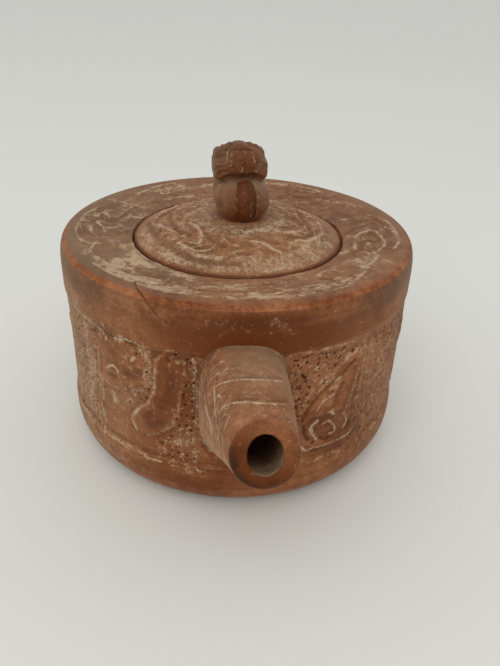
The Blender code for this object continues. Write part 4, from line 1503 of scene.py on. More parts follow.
    def tint(self, canvas: Canvas, arc: Array, level: Array, outer: Array) -> None:
        """Polished darker clay in front under the shoulder, painted shade on the brow, the shoulder's turn,
        by the leaf and low on the right, and film at the sides and behind as dust and painted sheen.

        Args:
            canvas: Outer skin.
            arc: Arc length of each place from the spout.
            level: Height of each place.
            outer: Which places lie outside the foot's corner.
        """
        polished = 0.95 * bell(arc, *self.polished_front) * self.under_shoulder.of(level) * outer
        rubbed = 0.60 * (bell(arc, *self.rubbed_front) * (1.0 - self.wall_front_end.of(level)) * outer)
        # brow: polished clay, and painted shade on the shoulder's front curve
        brow = 0.9 * self.brow.of(arc, level) * outer
        for share in (polished, rubbed, brow):
            canvas.warm = np.maximum(canvas.warm, share)
        canvas.warm *= 1.0 - np.clip(2.0 * canvas.pale, 0.0, 1.0)
        side = 1.0 - bell(arc, *self.clean_front)
        left = self.sideways.of(-arc)
        right = self.sideways.of(arc)
        low = 1.0 - self.foot_end.of(level)
        wall = 1.0 - self.wall_end.of(level)
        turning = side * self.turning.of(level) * outer
        behind = self.backwards.of(np.abs(arc)) * (1.0 - wall)
        leafy = 0.6 * self.leaf_shadow.of(arc, level) * outer
        # painted shade: the brow, the shoulder's turn at the sides, the leaf, and low on the right away from
        # the lamp
        for share in (brow, turning * np.where(arc > 0.0, 1.6, 1.2), leafy, 0.7 * right * low * outer):
            canvas.shade_and_dark_clay = np.maximum(canvas.shade_and_dark_clay, share)
        # film: dust, with painted sheen at the grazing sides and behind, grey on the shoulder's turn with its
        # painted shade, and low on the left painted reflection of the floor
        dust_and_sheen = 0.18 * side * wall + 0.14 * left * wall + 0.40 * left * low + 0.95 * behind + 0.04
        canvas.film += dust_and_sheen * outer + 0.45 * turning
        # pale on the left: residue, and low down painted reflection of the floor
        canvas.pale += ((0.24 * left + 0.08 * side) * wall + 0.50 * left * low) * outer

    def build(self, finish: Material) -> None:
        """Make the base, wall and shoulder pieces from the one skin.

        Args:
            finish: Clay.
        """
        places, normals, canvas, heights = self.skin()
        rows = len(heights)
        lower = int(np.argmin(np.abs(heights - self.lower_seam)))
        upper = int(np.argmin(np.abs(heights - self.upper_seam)))
        inner_wall = self.radius - self.wall
        foot_wall = self.foot_radius - self.wall
        width = foot_wall - self.flat_radius
        bowl = [(self.flat_radius + width * math.cos(angle),
                 self.corner_height + (self.corner_height - self.floor) * math.sin(angle))
                for angle in np.linspace(0.0, -math.pi / 2.0, 9)]
        floor = [(foot_wall, self.lower_seam), *bowl]
        floor += [(radius, self.floor) for radius in (26.0, 12.0, 0.0)]
        liner = [(inner_wall, self.upper_seam), (inner_wall - 0.05, 44.0), (inner_wall - 0.15, 28.0),
                 (foot_wall, self.lower_seam)]
        ceiling = [(34.0, self.underside), (40.0, self.underside), (inner_wall - 2.0, self.underside),
                   (inner_wall - 0.6, self.underside - 0.6), (inner_wall, self.underside - 2.0),
                   (inner_wall, self.upper_seam)]
        self.strip("drum_base", "base_dish", places, normals, canvas, 0, lower + 1, floor, finish)
        self.strip("drum_side_wall", "side_wall", places, normals, canvas, lower, upper + 1, liner, finish)
        self.strip("drum_shoulder", "shoulder", places, normals, canvas, upper, rows, ceiling, finish)

    def strainer_holes(self) -> Holes:
        """One hole in the middle and six round it, through the wall behind the spout.

        Returns:
            Start, end and radius of each.
        """
        spots = [(0.0, 0.0)]
        spots += [(self.strainer_ring * math.cos(turn), self.strainer_ring * math.sin(turn))
                  for turn in np.linspace(0.0, FULL_TURN, 6, endpoint=False) + math.pi / 6.0]
        holes = []
        for across, upward in spots:
            place = [self.spout_arc + across, 0.0, self.strainer_height + upward]
            holes.append((np.array(place) - [0.0, self.radius + 4.0, 0.0],
                          np.array(place) - [0.0, self.radius - 9.0, 0.0], self.strainer_radius))
        return holes

    def strip(self, name: str, node: str, places: Array, normals: Array, canvas: Canvas,
              first: int, last: int, inner: Sequence[tuple[float, float]],
              finish: Material) -> None:
        """Closed piece from rows of the skin and its plain inner face.

        Args:
            name: Piece name.
            node: CAD node that it stands for.
            places: Outer skin.
            normals: Its smooth normals.
            canvas: Its tones.
            first: First row.
            last: Row after the last.
            inner: Radii and heights of the inner face, from the skin's end back to its start.
            finish: Clay.
        """
        columns = len(self.angles)
        grid = np.concatenate([places[first:last], turned_profile(inner, self.angles)])
        keep = slice(first * columns, last * columns)
        blank = len(inner) * columns
        tones = {tone: np.pad(values[keep], (0, blank)) for tone, values in canvas.tones().items()}
        if node == "base_dish":
            rings = grid[1:-1]
            corners = np.vstack([grid[0, :1], rings.reshape(-1, 3), grid[-1, :1]])
            faces = capped_faces(len(rings), columns)
            tones = capped_tones({tone: values[columns:-columns] for tone, values in tones.items()})
        else:
            corners = grid.reshape(-1, 3)
            faces = grid_faces(len(grid), columns, True)
        mesh = clay_mesh(name, corners, faces, tones)
        if node == "side_wall":
            mesh = drilled(mesh, self.strainer_holes())
        seams = {first, last - 1} - {0, len(places) - 1}
        self.match_seams(mesh, [(places[row], normals[row]) for row in sorted(seams)])
        piece_object(name, mesh, finish, "pot", [node])

    def match_seams(self, mesh: Mesh, seams: Sequence[tuple[Array, Array]]) -> None:
        """Give a piece the whole skin's normals where it meets the next one.

        Args:
            mesh: The piece.
            seams: Places and normals of the skin along each seam.
        """
        corners = np.zeros(3 * len(mesh.vertices))
        mesh.vertices.foreach_get("co", corners)
        corners = corners.reshape(-1, 3) / MM
        given = np.zeros(corners.shape)
        columns = np.where(self.angles > math.pi, self.angles - FULL_TURN, self.angles)
        for places, normals in seams:
            level = np.abs(corners[:, 2] - places[:, 2].mean()) < 0.02
            outside = level & (np.hypot(corners[:, 0], corners[:, 1]) > self.radius - 2.0)
            around = np.arctan2(corners[outside, 0], -corners[outside, 1])
            nearest = np.argmin(np.abs(around[:, None] - columns), axis=1)
            given[outside] = normals[nearest]
        mesh.normals_split_custom_set_from_vertices(given.tolist())


TOP_STROKES = (
    Stroke(((98, 208), (86, 214), (81, 223), (83, 231)), 0.75, 0.30, Cut.RIDGE, 0.70),
    Stroke(((112, 210), (101, 214), (97.5, 221), (101, 226.5), (109, 228.5), (120, 226.5)),
           0.75, 0.36, Cut.RIDGE, 0.85),
    Stroke(((126, 222), (130, 215), (122, 209)), 0.60, 0.28, Cut.RIDGE, 0.50),
    Stroke(((108, 218), (114, 221), (122, 218), (127, 213)), 0.95, 0.50, Cut.HOLLOW, 0.8),
    Stroke(((85, 230), (96, 235), (110, 234.5), (128, 231)), 0.80, 0.42, Cut.HOLLOW, 0.8),
    Stroke(((90, 240), (104, 243), (122, 241)), 1.20, 0.26, Cut.MOUND, 0.45),
    Stroke(((110, 246), (122, 250), (132, 247)), 2.20, 0.20, Cut.HOLLOW, 0.9),
    Stroke(((161, 187), (168, 193), (176, 195)), 0.95, 0.50, Cut.HOLLOW, 0.9),
    Stroke(((112, 199), (124, 203), (136, 205), (148, 206)), 2.20, 0.10, Cut.STAIN, 0.58),
    Stroke(((150, 192), (166, 189), (182, 186), (205, 186)), 1.90, 0.0, Cut.STAIN, 0.60),
    Stroke(((150, 197), (163, 200), (178, 197), (190, 196)), 0.90, 0.20, Cut.STAIN, 0.60),
    Stroke(((92, 255), (104, 261), (118, 265), (132, 270)), 1.80, 0.0, Cut.STAIN, 0.62),
    Stroke(((108, 271), (122, 277), (134, 282), (146, 286)), 0.75, 0.16, Cut.RIDGE, 0.80),
    Stroke(((134, 263), (148, 268), (164, 273), (182, 276)), 0.70, 0.26, Cut.GROOVE, 0.55),
    Stroke(((140, 270), (154, 275), (170, 279)), 0.60, 0.26, Cut.HOLLOW, 0.6),
    Stroke(((146, 286), (170, 291), (195, 294.5), (225, 297), (252, 296), (284, 292), (312, 286), (338, 277)),
           1.30, 0.12, Cut.STAIN, 0.66),
    Stroke(((172, 281), (195, 284), (222, 286), (250, 286)), 0.80, 0.22, Cut.GROOVE, 0.60),
    Stroke(((262, 285), (284, 282), (304, 277)), 0.80, 0.20, Cut.GROOVE, 0.62),
    Stroke(((200, 289.5), (230, 291), (262, 290)), 0.70, 0.22, Cut.HOLLOW, 0.6),
    Stroke(((356.5, 217), (370.5, 215.4), (386, 221), (394, 229.4), (396, 236.5), (388, 242), (374.7, 247)),
           0.62, 0.30, Cut.RIDGE, 0.50),
    Stroke(((355, 229.4), (362, 224.5), (373, 224.5), (380, 229.4), (378, 233), (370.5, 232), (366, 228.7)),
           0.55, 0.30, Cut.RIDGE, 0.62),
    Stroke(((360, 221), (372, 219), (384, 225), (388, 233), (381, 239), (370, 240)),
           0.85, 0.40, Cut.HOLLOW, 0.7),
    Stroke(((344, 240), (352, 236), (360, 240)), 1.30, 0.0, Cut.STAIN, 0.60),
    Stroke(((340, 254), (350, 249), (360, 246)), 1.70, 0.0, Cut.STAIN, 0.62),
    Stroke(((289, 194), (293, 190), (304.5, 191), (318.6, 193), (331, 197), (333, 200)),
           0.50, 0.26, Cut.RIDGE, 0.42),
    Stroke(((288, 193), (292, 198.6), (303, 203), (318.6, 201), (333, 200)), 0.50, 0.26, Cut.RIDGE, 0.36),
    Stroke(((294, 196), (304, 197), (316, 197.5), (326, 199)), 1.00, 0.40, Cut.HOLLOW, 0.7),
    Stroke(((269.5, 186), (282, 183), (300, 186)), 0.50, 0.22, Cut.RIDGE, 0.36),
    Stroke(((324, 218), (337, 220), (346.6, 219.6), (352, 217)), 0.70, 0.20, Cut.RIDGE, 0.45),
    Stroke(((310, 206), (320, 209), (330, 207)), 0.80, 0.20, Cut.RIDGE, 0.35),
    Stroke(((318, 289), (330, 290), (342, 287), (352, 282), (360, 276), (366, 271)),
           0.85, 0.14, Cut.RIDGE, 0.72),
    Stroke(((330, 270), (345, 266), (358, 259)), 1.40, 0.20, Cut.MOUND, 0.34),
)

LID_STROKES = (
    Stroke(((165, 210), (160.5, 220), (165, 231), (174, 238)), 1.00, 0.42, Cut.MOUND, 0.70),
    Stroke(((178, 243), (188, 248.5), (200, 251), (212, 249), (217, 242)), 0.70, 0.42, Cut.RIDGE, 0.80),
    Stroke(((190, 223), (199, 229), (202, 238), (197, 244), (187, 243)), 0.85, 0.46, Cut.RIDGE, 0.80),
    Stroke(((176, 222), (183, 227), (186, 236)), 0.90, 0.44, Cut.MOUND, 0.75),
    Stroke(((207, 212), (214, 222), (222, 230), (232, 236)), 1.10, 0.36, Cut.MOUND, 0.50),
    Stroke(((148, 223), (156, 236), (171, 247), (190, 257), (214, 262), (238, 263)),
           1.10, 0.34, Cut.HOLLOW, 0.9),
    Stroke(((170, 213), (172, 222), (179, 231), (190, 234)), 0.80, 0.40, Cut.HOLLOW, 0.7),
    Stroke(((206, 232), (212, 240), (224, 246)), 0.90, 0.36, Cut.HOLLOW, 0.8),
    Stroke(((270, 229), (280, 232.5), (292, 232.5), (302, 230), (307, 225)), 0.70, 0.40, Cut.RIDGE, 0.66),
    Stroke(((274, 225), (284, 227), (294, 226)), 0.90, 0.36, Cut.HOLLOW, 0.8),
    Stroke(((296, 241), (306, 241.5), (315, 239), (323, 234)), 0.70, 0.42, Cut.RIDGE, 0.85),
    Stroke(((290, 236), (302, 237), (314, 233), (320, 228)), 0.90, 0.40, Cut.HOLLOW, 0.9),
    Stroke(((298, 211), (308, 216), (316, 222), (322, 226)), 0.70, 0.40, Cut.RIDGE, 0.70),
    Stroke(((284, 212), (294, 217), (304, 222)), 0.95, 0.38, Cut.MOUND, 0.45),
    Stroke(((252, 241), (262, 243), (272, 249), (281, 253)), 0.70, 0.38, Cut.RIDGE, 0.80),
    Stroke(((242, 250), (252, 251), (262, 256)), 1.90, 0.40, Cut.MOUND, 0.40),
    Stroke(((259, 236), (268, 240), (280, 243)), 0.70, 0.36, Cut.HOLLOW, 0.8),
    Stroke(((222, 238), (230, 244), (238, 246)), 0.80, 0.34, Cut.RIDGE, 0.55),
)

SPOUT_STROKES = (
    Stroke(((215.3, 387), (223.3, 382.8), (234, 380.8), (250, 379.8), (267.3, 380.4), (277, 381.2),
            (283, 382.0)),
           0.27, 0.22, Cut.GROOVE, 1.0),
    Stroke(((232, 378.4), (250, 377.2), (268, 377.8), (282, 379.4)), 0.50, 0.16, Cut.HOLLOW, 0.9),
    Stroke(((222, 407.7), (232.7, 403.4), (243, 402.6), (264.7, 403.8), (278, 404.4), (286, 404.8)),
           0.26, 0.20, Cut.GROOVE, 0.95),
    Stroke(((234, 400.6), (250, 400.0), (268, 401.2), (284, 402.0)), 0.50, 0.16, Cut.HOLLOW, 0.9),
    Stroke(((214, 385.7), (214.7, 399), (215.3, 415)), 0.30, 0.16, Cut.GROOVE, 1.2),
    Stroke(((216.7, 395), (221, 397)), 0.30, 0.10, Cut.RIDGE, 0.8),
    Stroke(((205.3, 406), (208.7, 417.7), (211.3, 428.3), (211.6, 440.3)), 0.34, 0.14, Cut.GROOVE, 1.5),
    Stroke(((284, 408), (289, 422), (293.5, 438), (296.5, 452), (296.5, 466), (291.5, 478)),
           0.30, 0.06, Cut.RIDGE, 1.4),
)


@dataclass
class Lid:
    """Domed lid plate with carved swirls and a vent.

    Sizes come first, then the radii between which each kind of carving, wear and painted shade lies.
    """

    view: PhotoView
    radius: float = 29.5
    seat_radius: float = 8.5
    top: float = 67.3
    rise: float = 5.8
    dome_power: float = 1.8
    underside: float = 58.7
    thickness: float = 3.2
    flange_radius: float = 22.7
    edge_round: float = 0.55
    vent_radius: float = 0.9
    vent_distance: float = 13.8
    vent_angle: float = math.radians(199.2)
    cell: float = 0.31
    columns: int = 560
    carved_zone: Zone = Zone(7.4, 8.6, 28.4, 29.3)
    foot_zone: Zone = Zone(8.0, 9.0, 12.5, 15.0)
    swirl_zone: Zone = Zone(10.0, 13.0, 23.0, 25.0)
    rim_zone: Zone = Zone(22.5, 24.5, 27.6, 28.9)
    shaded_rim: Fade = Fade(28.7, 29.3)

    def dome(self, radius: Array) -> Array:
        """Height of the upper face at each radius."""
        share = np.clip((radius - self.seat_radius) / (self.radius - self.seat_radius), 0.0, 1.0)
        return self.top - self.rise * share ** self.dome_power

    def build(self, finish: Material) -> None:
        """Make the carved plate.

        Args:
            finish: Clay.
        """
        angles = np.linspace(0.0, FULL_TURN, self.columns, endpoint=False)
        middle = np.array([1.5, 3.0, 4.5, 6.0, 7.2, 7.8])
        outer = np.arange(8.2, self.radius - self.edge_round, self.cell)
        radii = np.concatenate([middle, outer])
        heights = self.dome(radii)
        turn = np.linspace(0.25, 1.0, 5) * math.pi / 2.0
        rim_level = self.dome(np.array([self.radius]))[0]
        rim_radii = self.radius - self.edge_round * (1.0 - np.sin(turn))
        rim_heights = rim_level - self.edge_round * (1.0 - np.cos(turn))
        radii = np.concatenate([radii, rim_radii, [self.radius, self.radius - 0.25]])
        heights = np.concatenate([heights, rim_heights, [self.underside + 0.3, self.underside]])
        carved = len(middle) + len(outer)
        rows = radii[::-1]
        levels = heights[::-1]
        grid = turned_places(rows, levels, angles)
        canvas = Canvas(grid.reshape(-1, 3))
        self.carve(canvas)
        canvas.pale_edges_and_shaded_hollows(grid.shape[:2], reach=9, rubbed=0.34, step=0.14)
        limit = np.repeat(np.arange(len(rows)) >= len(rows) - carved, self.columns)
        canvas.height = np.where(limit, canvas.height, 0.0)
        reach = np.hypot(canvas.places[:, 0], canvas.places[:, 1])
        canvas.height *= self.carved_zone.of(reach)
        top = canvas.lifted(grid_normals(grid).reshape(-1, 3)).reshape(grid.shape)
        hollow = self.top - self.thickness - self.underside
        under = [(self.flange_radius * (1.0 - share),
                  self.underside + hollow * math.sin(share * math.pi / 2.0))
                 for share in (0.85, 0.65, 0.45, 0.25, 0.1, 0.0)]
        under.append((self.radius - 3.0, self.underside))
        rings = np.concatenate([turned_profile(under, angles), top])
        ends = np.array([[0.0, 0.0, self.underside + hollow], [0.0, 0.0, self.top]])
        corners = np.vstack([ends[:1], rings.reshape(-1, 3), ends[1:]])
        faces = capped_faces(len(rings), self.columns)
        blank = 1 + len(under) * self.columns
        tones = {tone: np.pad(values, (blank, 1)) for tone, values in canvas.tones().items()}
        spot = np.array([self.vent_distance * math.sin(self.vent_angle),
                         -self.vent_distance * math.cos(self.vent_angle), self.underside - 2.0])
        mesh = drilled(clay_mesh("lid_plate_carved", corners, faces, tones),
                       [(spot, spot + [0.0, 0.0, 12.0], self.vent_radius)])
        piece_object("lid_plate_carved", mesh, finish, "lid", ["lid_plate"])

    def carve(self, canvas: Canvas) -> None:
        """Swirls read from the photograph, their copies behind, and pricked ground round them.

        Args:
            canvas: Upper face.
        """
        places = canvas.places
        reach = np.hypot(places[:, 0], places[:, 1])
        angle = np.arctan2(places[:, 0], -places[:, 1])
        drift = layered_noise(places, cell=3.0, seed=161)
        patch = layered_noise(places, cell=7.0, seed=151)
        swirls = self.swirl_zone.of(reach)
        scrolls = scrolled_noise(places, cell=4.2, seed=165)
        canvas.height += 0.50 * (drift - 0.5) * (0.25 + 0.75 * swirls) + 0.34 * scrolls * swirls - 0.24
        rim_band = self.rim_zone.of(reach)
        foot_band = self.foot_zone.of(reach)
        canvas.film += 0.30 + 0.26 * foot_band + 0.10 * rim_band
        canvas.pale += 0.08
        front = smooth_step(-0.3, 0.8, -places[:, 1] / np.maximum(reach, 1.0))
        canvas.pale += rim_band * (0.36 + 0.32 * smooth_step(0.36, 0.60, patch)) * (0.45 + 0.55 * front)
        canvas.pale += swirls * (0.10 + 0.32 * scrolls * smooth_step(0.34, 0.58, patch))
        canvas.pale += foot_band * 0.36 * smooth_step(0.36, 0.6, patch)
        chart = np.column_stack([angle * 22.0 + 80.0, reach])
        holes, kind = Punch(spacing=1.15, radius=0.30, skip=0.25, seed=25).holes(chart)
        pricked = np.maximum(foot_band, 0.8 * rim_band * smooth_step(0.5, 0.62, patch))
        canvas.height -= 0.34 * holes * pricked
        # empty pricks painted near black: painted shade in them
        canvas.pit = np.maximum(canvas.pit, 0.90 * holes * pricked * (kind > 0.55))
        canvas.pale = np.maximum(canvas.pale, 0.95 * holes * pricked * (kind < 0.45))
        canvas.draw(LID_STROKES, self.view, "lid_plate")
        canvas.draw(LID_STROKES, self.view, "lid_plate", math.pi)
        # painted shade on the plate's outer edge: no residue or dust there, darker warm clay
        edge = self.shaded_rim.of(reach)
        canvas.pale *= 1.0 - edge
        canvas.film *= 1.0 - 0.7 * edge
        canvas.warm = np.maximum(canvas.warm, 0.9 * edge)
        canvas.shade_and_dark_clay = np.maximum(canvas.shade_and_dark_clay, edge)


@dataclass
class Spout:
    """Short tapered spout, squarish at the wall and round at its mouth.

    Sizes come first, then where tones set in: places along Y, heights, places across, or rows of the
    mesh after the outer face.
    """

    view: PhotoView
    start: float = -46.0
    reach: float = 84.0
    tip_height: float = 50.9
    tip_radius: float = 6.7
    tip_tilt: float = math.radians(20.0)
    side_wall: float = 3.35
    edge_wall: float = 2.65
    root_top: float = 53.0
    root_bottom: float = 18.4
    root_half_width: float = 10.8
    root_offset: float = 1.3
    tip_offset: float = 0.35
    belly_shares: tuple[float, float] = (0.60, 0.68)
    taper_power: float = 1.3
    root_power: float = 3.2
    tip_power: float = 2.0
    wall_radius: float = 49.75
    fillet: float = 0.9
    lip_share: float = 0.982
    lip_round: float = 2.0
    bore_round: float = 0.6
    columns: int = 260
    rows: int = 190
    corner_draw: float = 0.18
    row_power: float = 1.25
    widest_fillet: float = 0.7
    rubbed_level: Fade = Fade(44.0, 52.0)
    rubbed_length: Fade = Fade(-72.0, -56.0)
    behind_tip: Fade = Fade(-84.0, -75.0)
    low_side: Fade = Fade(50.0, 40.0)
    left_side: Fade = Fade(2.0, -7.0)
    left_edge: Fade = Fade(-3.5, -8.0)
    rightwards: Fade = Fade(-4.0, 6.0)
    neck_start: Fade = Fade(-60.0, -66.0)
    neck_end: Fade = Fade(-78.0, -72.0)
    neck_bottom: float = 44.0
    under_lip: Fade = Fade(47.0, 43.5)
    root_shadow: Fade = Fade(0.0, 1.3)
    lip_residue: tuple[float, float] = (-82.0, 2.0)
    dark_rim_rows: tuple[float, float] = (1.0, 5.0)
    worn_rows: Zone = Zone(-13.0, 6.0, 14.0, 18.0)
    lining_start: Fade = Fade(11.0, 13.0)
    lining_end: Fade = Fade(19.0, 34.0)

    def section(self, share: Array, angles: Array, side_inset: float = 0.0,
                edge_inset: float = 0.0) -> Array:
        """Places round the spout.

        Args:
            share: Share of the length from the root for each place.
            angles: Angle round the section for each place.
            side_inset: How far the sides stand inside the outer form.
            edge_inset: How far the top and bottom stand inside it.

        Returns:
            One 3-D place for each share and angle.
        """
        share = share[..., None]
        face = np.array([math.sin(self.tip_tilt), math.cos(self.tip_tilt)]) * self.tip_radius
        tip = np.array([-self.reach, self.tip_height])
        root_top = np.array([self.start, self.root_top])
        root_bottom = np.array([self.start, self.root_bottom])
        tip_bottom = tip - face
        belly = root_bottom + (tip_bottom - root_bottom) * np.array(self.belly_shares)
        top = root_top + (tip + face - root_top) * share
        bottom = root_bottom * (1.0 - share) ** 2 + belly * (2.0 * share * (1.0 - share))
        bottom = bottom + tip_bottom * share ** 2
        middle = (top + bottom) / 2.0
        span = np.linalg.norm(top - bottom, axis=-1, keepdims=True)
        upward = (top - bottom) / span
        share = share[..., 0]
        half_height = span[..., 0] / 2.0 - edge_inset
        ease = np.clip(share, 0.0, 1.0) ** self.taper_power
        half_width = self.root_half_width + (self.tip_radius - self.root_half_width) * ease - side_inset
        power = self.root_power + (self.tip_power - self.root_power) * share
        across, along = superellipse(angles, power)
        place = middle + upward * (half_height * along)[..., None]
        offset = self.tip_offset * share - self.root_offset * (1.0 - share)
        return np.stack([offset + half_width * across, place[..., 0], place[..., 1]], axis=-1)

    def wall_share(self, angles: Array, side_inset: float, edge_inset: float) -> Array:
        """Where each line along the spout leaves the drum's wall.

        Args:
            angles: Angle round the section of each line.
            side_inset: How far the sides stand inside the outer form.
            edge_inset: How far the top and bottom stand inside it.

        Returns:
            Share of the length for each line.
        """
        low = np.zeros_like(angles)
        high = np.ones_like(angles)
        for _ in range(40):
            middle = (low + high) / 2.0
            place = self.section(middle, angles, side_inset, edge_inset)
            inside = np.hypot(place[..., 0], place[..., 1]) < self.wall_radius
            low = np.where(inside, middle, low)
            high = np.where(inside, high, middle)
        return (low + high) / 2.0

    def build(self, finish: Material) -> None:
        """Make the spout with its bore, its worn lip and the fillet at its root.

        Args:
            finish: Clay.
        """
        even = np.linspace(0.0, FULL_TURN, self.columns, endpoint=False)
        angles = even - self.corner_draw * np.sin(4.0 * even)
        root = self.wall_share(angles, 0.0, 0.0)
        steps = np.linspace(0.0, 1.0, self.rows) ** self.row_power
        share = root[None, :] + (self.lip_share - root[None, :]) * steps[:, None]
        turning = np.broadcast_to(angles, share.shape)
        grid = self.section(share, turning)
        away = np.maximum(np.hypot(grid[..., 0], grid[..., 1]) - self.wall_radius, 0.0)
        near = np.clip(self.fillet - away, 0.0, self.fillet)
        flare = self.fillet - np.sqrt(np.maximum(self.fillet ** 2 - near ** 2, 0.0))
        outward = grid_normals(grid)
        radial = grid[..., :2] / np.hypot(grid[..., 0], grid[..., 1])[..., None]
        along = np.sum(outward[..., :2] * radial, axis=-1)
        outward[..., :2] -= along[..., None] * radial
        outward /= np.maximum(np.linalg.norm(outward, axis=-1, keepdims=True), 1e-6)
        grid = grid + outward * np.minimum(flare, self.widest_fillet)[..., None]
        grid, canvas = self.carve(grid)
        whole = np.concatenate([grid, *self.mouth(angles)])
        worn = Canvas(whole.reshape(-1, 3))
        loops = np.repeat(np.arange(len(whole)), self.columns)
        self.wear(worn, np.tile(angles, len(whole)), loops - len(grid))
        tones = {}
        for tone, values in worn.tones().items():
            values[:len(canvas.places)] = np.maximum(canvas.tones()[tone], values[:len(canvas.places)])
            tones[tone] = values
        faces = grid_faces(whole.shape[0], self.columns, True)
        mesh = clay_mesh("spout_shell", whole.reshape(-1, 3), faces, tones)
        mesh.flip_normals()
        piece_object("spout_shell", mesh, finish, "pot", ["spout"])

    def mouth(self, angles: Array) -> list[Array]:
        """Rounded lip and bore, from the outer edge back to the root.

        Args:
            angles: Angle round the section of each place.

        Returns:
            One grid of a single row for each loop.
        """
        tip = np.full(self.columns, self.lip_share)
        normal = np.array([0.0, -math.cos(self.tip_tilt), math.sin(self.tip_tilt)])
        loops = []
        flatness = 0.45
        for turn in np.linspace(0.0, math.pi / 2.0, 8)[1:]:
            inset = self.lip_round * (1.0 - math.cos(turn))
            rise = self.lip_round * math.sin(turn) * flatness
            loops.append(self.section(tip, angles, inset, inset)[None] + normal * rise)
        for turn in np.linspace(0.0, math.pi / 2.0, 7):
            side = self.side_wall - self.bore_round * (1.0 - math.sin(turn))
            height = self.edge_wall - self.bore_round * (1.0 - math.sin(turn)) * 0.8
            depth = self.lip_round * flatness - self.bore_round * (1.0 - math.cos(turn))
            loops.append(self.section(tip, angles, side, height)[None] + normal * depth)
        root = self.wall_share(angles, self.side_wall, self.edge_wall)
        for step in np.linspace(0.95, 0.0, 40):
            share = root + (1.0 - root) * step
            loops.append(self.section(share, angles, self.side_wall, self.edge_wall)[None])
        return loops

    def wear(self, canvas: Canvas, angles: Array, loop: Array) -> None:
        """Brown worn ring at the mouth and pale scale on the bore's lower side.

        Args:
            canvas: Whole spout.
            angles: Angle round the section of each place.
            loop: Number of the row after the outer face, negative on it.
        """
        patch = layered_noise(canvas.places, cell=4.5, seed=231)
        lower_left = 0.5 - 0.5 * np.cos(angles - math.radians(50.0))
        ring = self.worn_rows.of(loop)
        canvas.warm = ring * (0.25 + 0.85 * lower_left) * (0.7 + 0.6 * patch)
        spots = smooth_step(0.50, 0.62, layered_noise(canvas.places, cell=2.6, seed=233))
        canvas.shade_and_dark_clay = ring * (0.35 + 0.65 * spots) * lower_left * smooth_step(-10.0, 3.0, loop)
        # dark line along the lip's outer edge, strongest at the lower left
        rim = bell(loop, *self.dark_rim_rows)
        canvas.pit = ring * lower_left ** 2 * (0.25 * spots + 0.75 * rim)
        scale = smooth_step(-0.1, 0.75, np.cos(angles + math.radians(65.0)))
        lining = scale * self.lining_start.of(loop) * (1.0 - self.lining_end.of(loop))
        canvas.film = 0.85 * lining + 0.06 * ring * (1.0 - lower_left) * (loop < 11)
        canvas.pale = 0.45 * lining

    def carve(self, grid: Array) -> tuple[Array, Canvas]:
        """Incised lines, hand-worked surface and rubbed top.

        Args:
            grid: Outer face.

        Returns:
            The carved face and its canvas.
        """
        canvas = Canvas(grid.reshape(-1, 3))
        keep_tree("spout_skin", canvas.places, grid_faces(len(grid), self.columns, False))
        canvas.draw(SPOUT_STROKES, self.view, "spout_skin")
        canvas.height += 0.24 * (layered_noise(canvas.places, cell=7.0, seed=211) - 0.5)
        across, along, level = canvas.places.T
        upper = self.rubbed_level.of(level) * self.rubbed_length.of(along)
        patch = layered_noise(canvas.places, cell=6.0, seed=221)
        at_tip = 1.0 - self.behind_tip.of(along)
        low_left = self.low_side.of(level) * self.left_side.of(across)
        beside = self.left_edge.of(across)
        dust_and_sheen = 0.20 + 0.34 * upper + 0.14 * upper * self.rightwards.of(across)
        canvas.film += dust_and_sheen * (1.0 - at_tip) * (1.0 - 0.7 * beside)
        canvas.pale += (0.08 + 0.14 * smooth_step(0.40, 0.65, patch)) * (1.0 - 0.7 * at_tip) + 0.20 * low_left
        canvas.pale += 0.19 * beside
        neck = self.neck_start.of(along) * self.neck_end.of(along)
        canvas.shade_and_dark_clay += 0.30 * neck * (level > self.neck_bottom)
        lower_edge = smooth_step(0.2, 0.9, across / 8.0) * self.under_lip.of(level)
        canvas.pale += 0.5 * lower_edge * bell(along, *self.lip_residue)
        # painted shade in the crease where the spout meets the wall
        root = 1.0 - self.root_shadow.of(np.hypot(across, along) - self.wall_radius)
        canvas.shade_and_dark_clay = np.maximum(canvas.shade_and_dark_clay, root)
        shaped = canvas.lifted(-grid_normals(grid).reshape(-1, 3)).reshape(grid.shape)
        shaped[-1] = grid[-1]
        return shaped, canvas


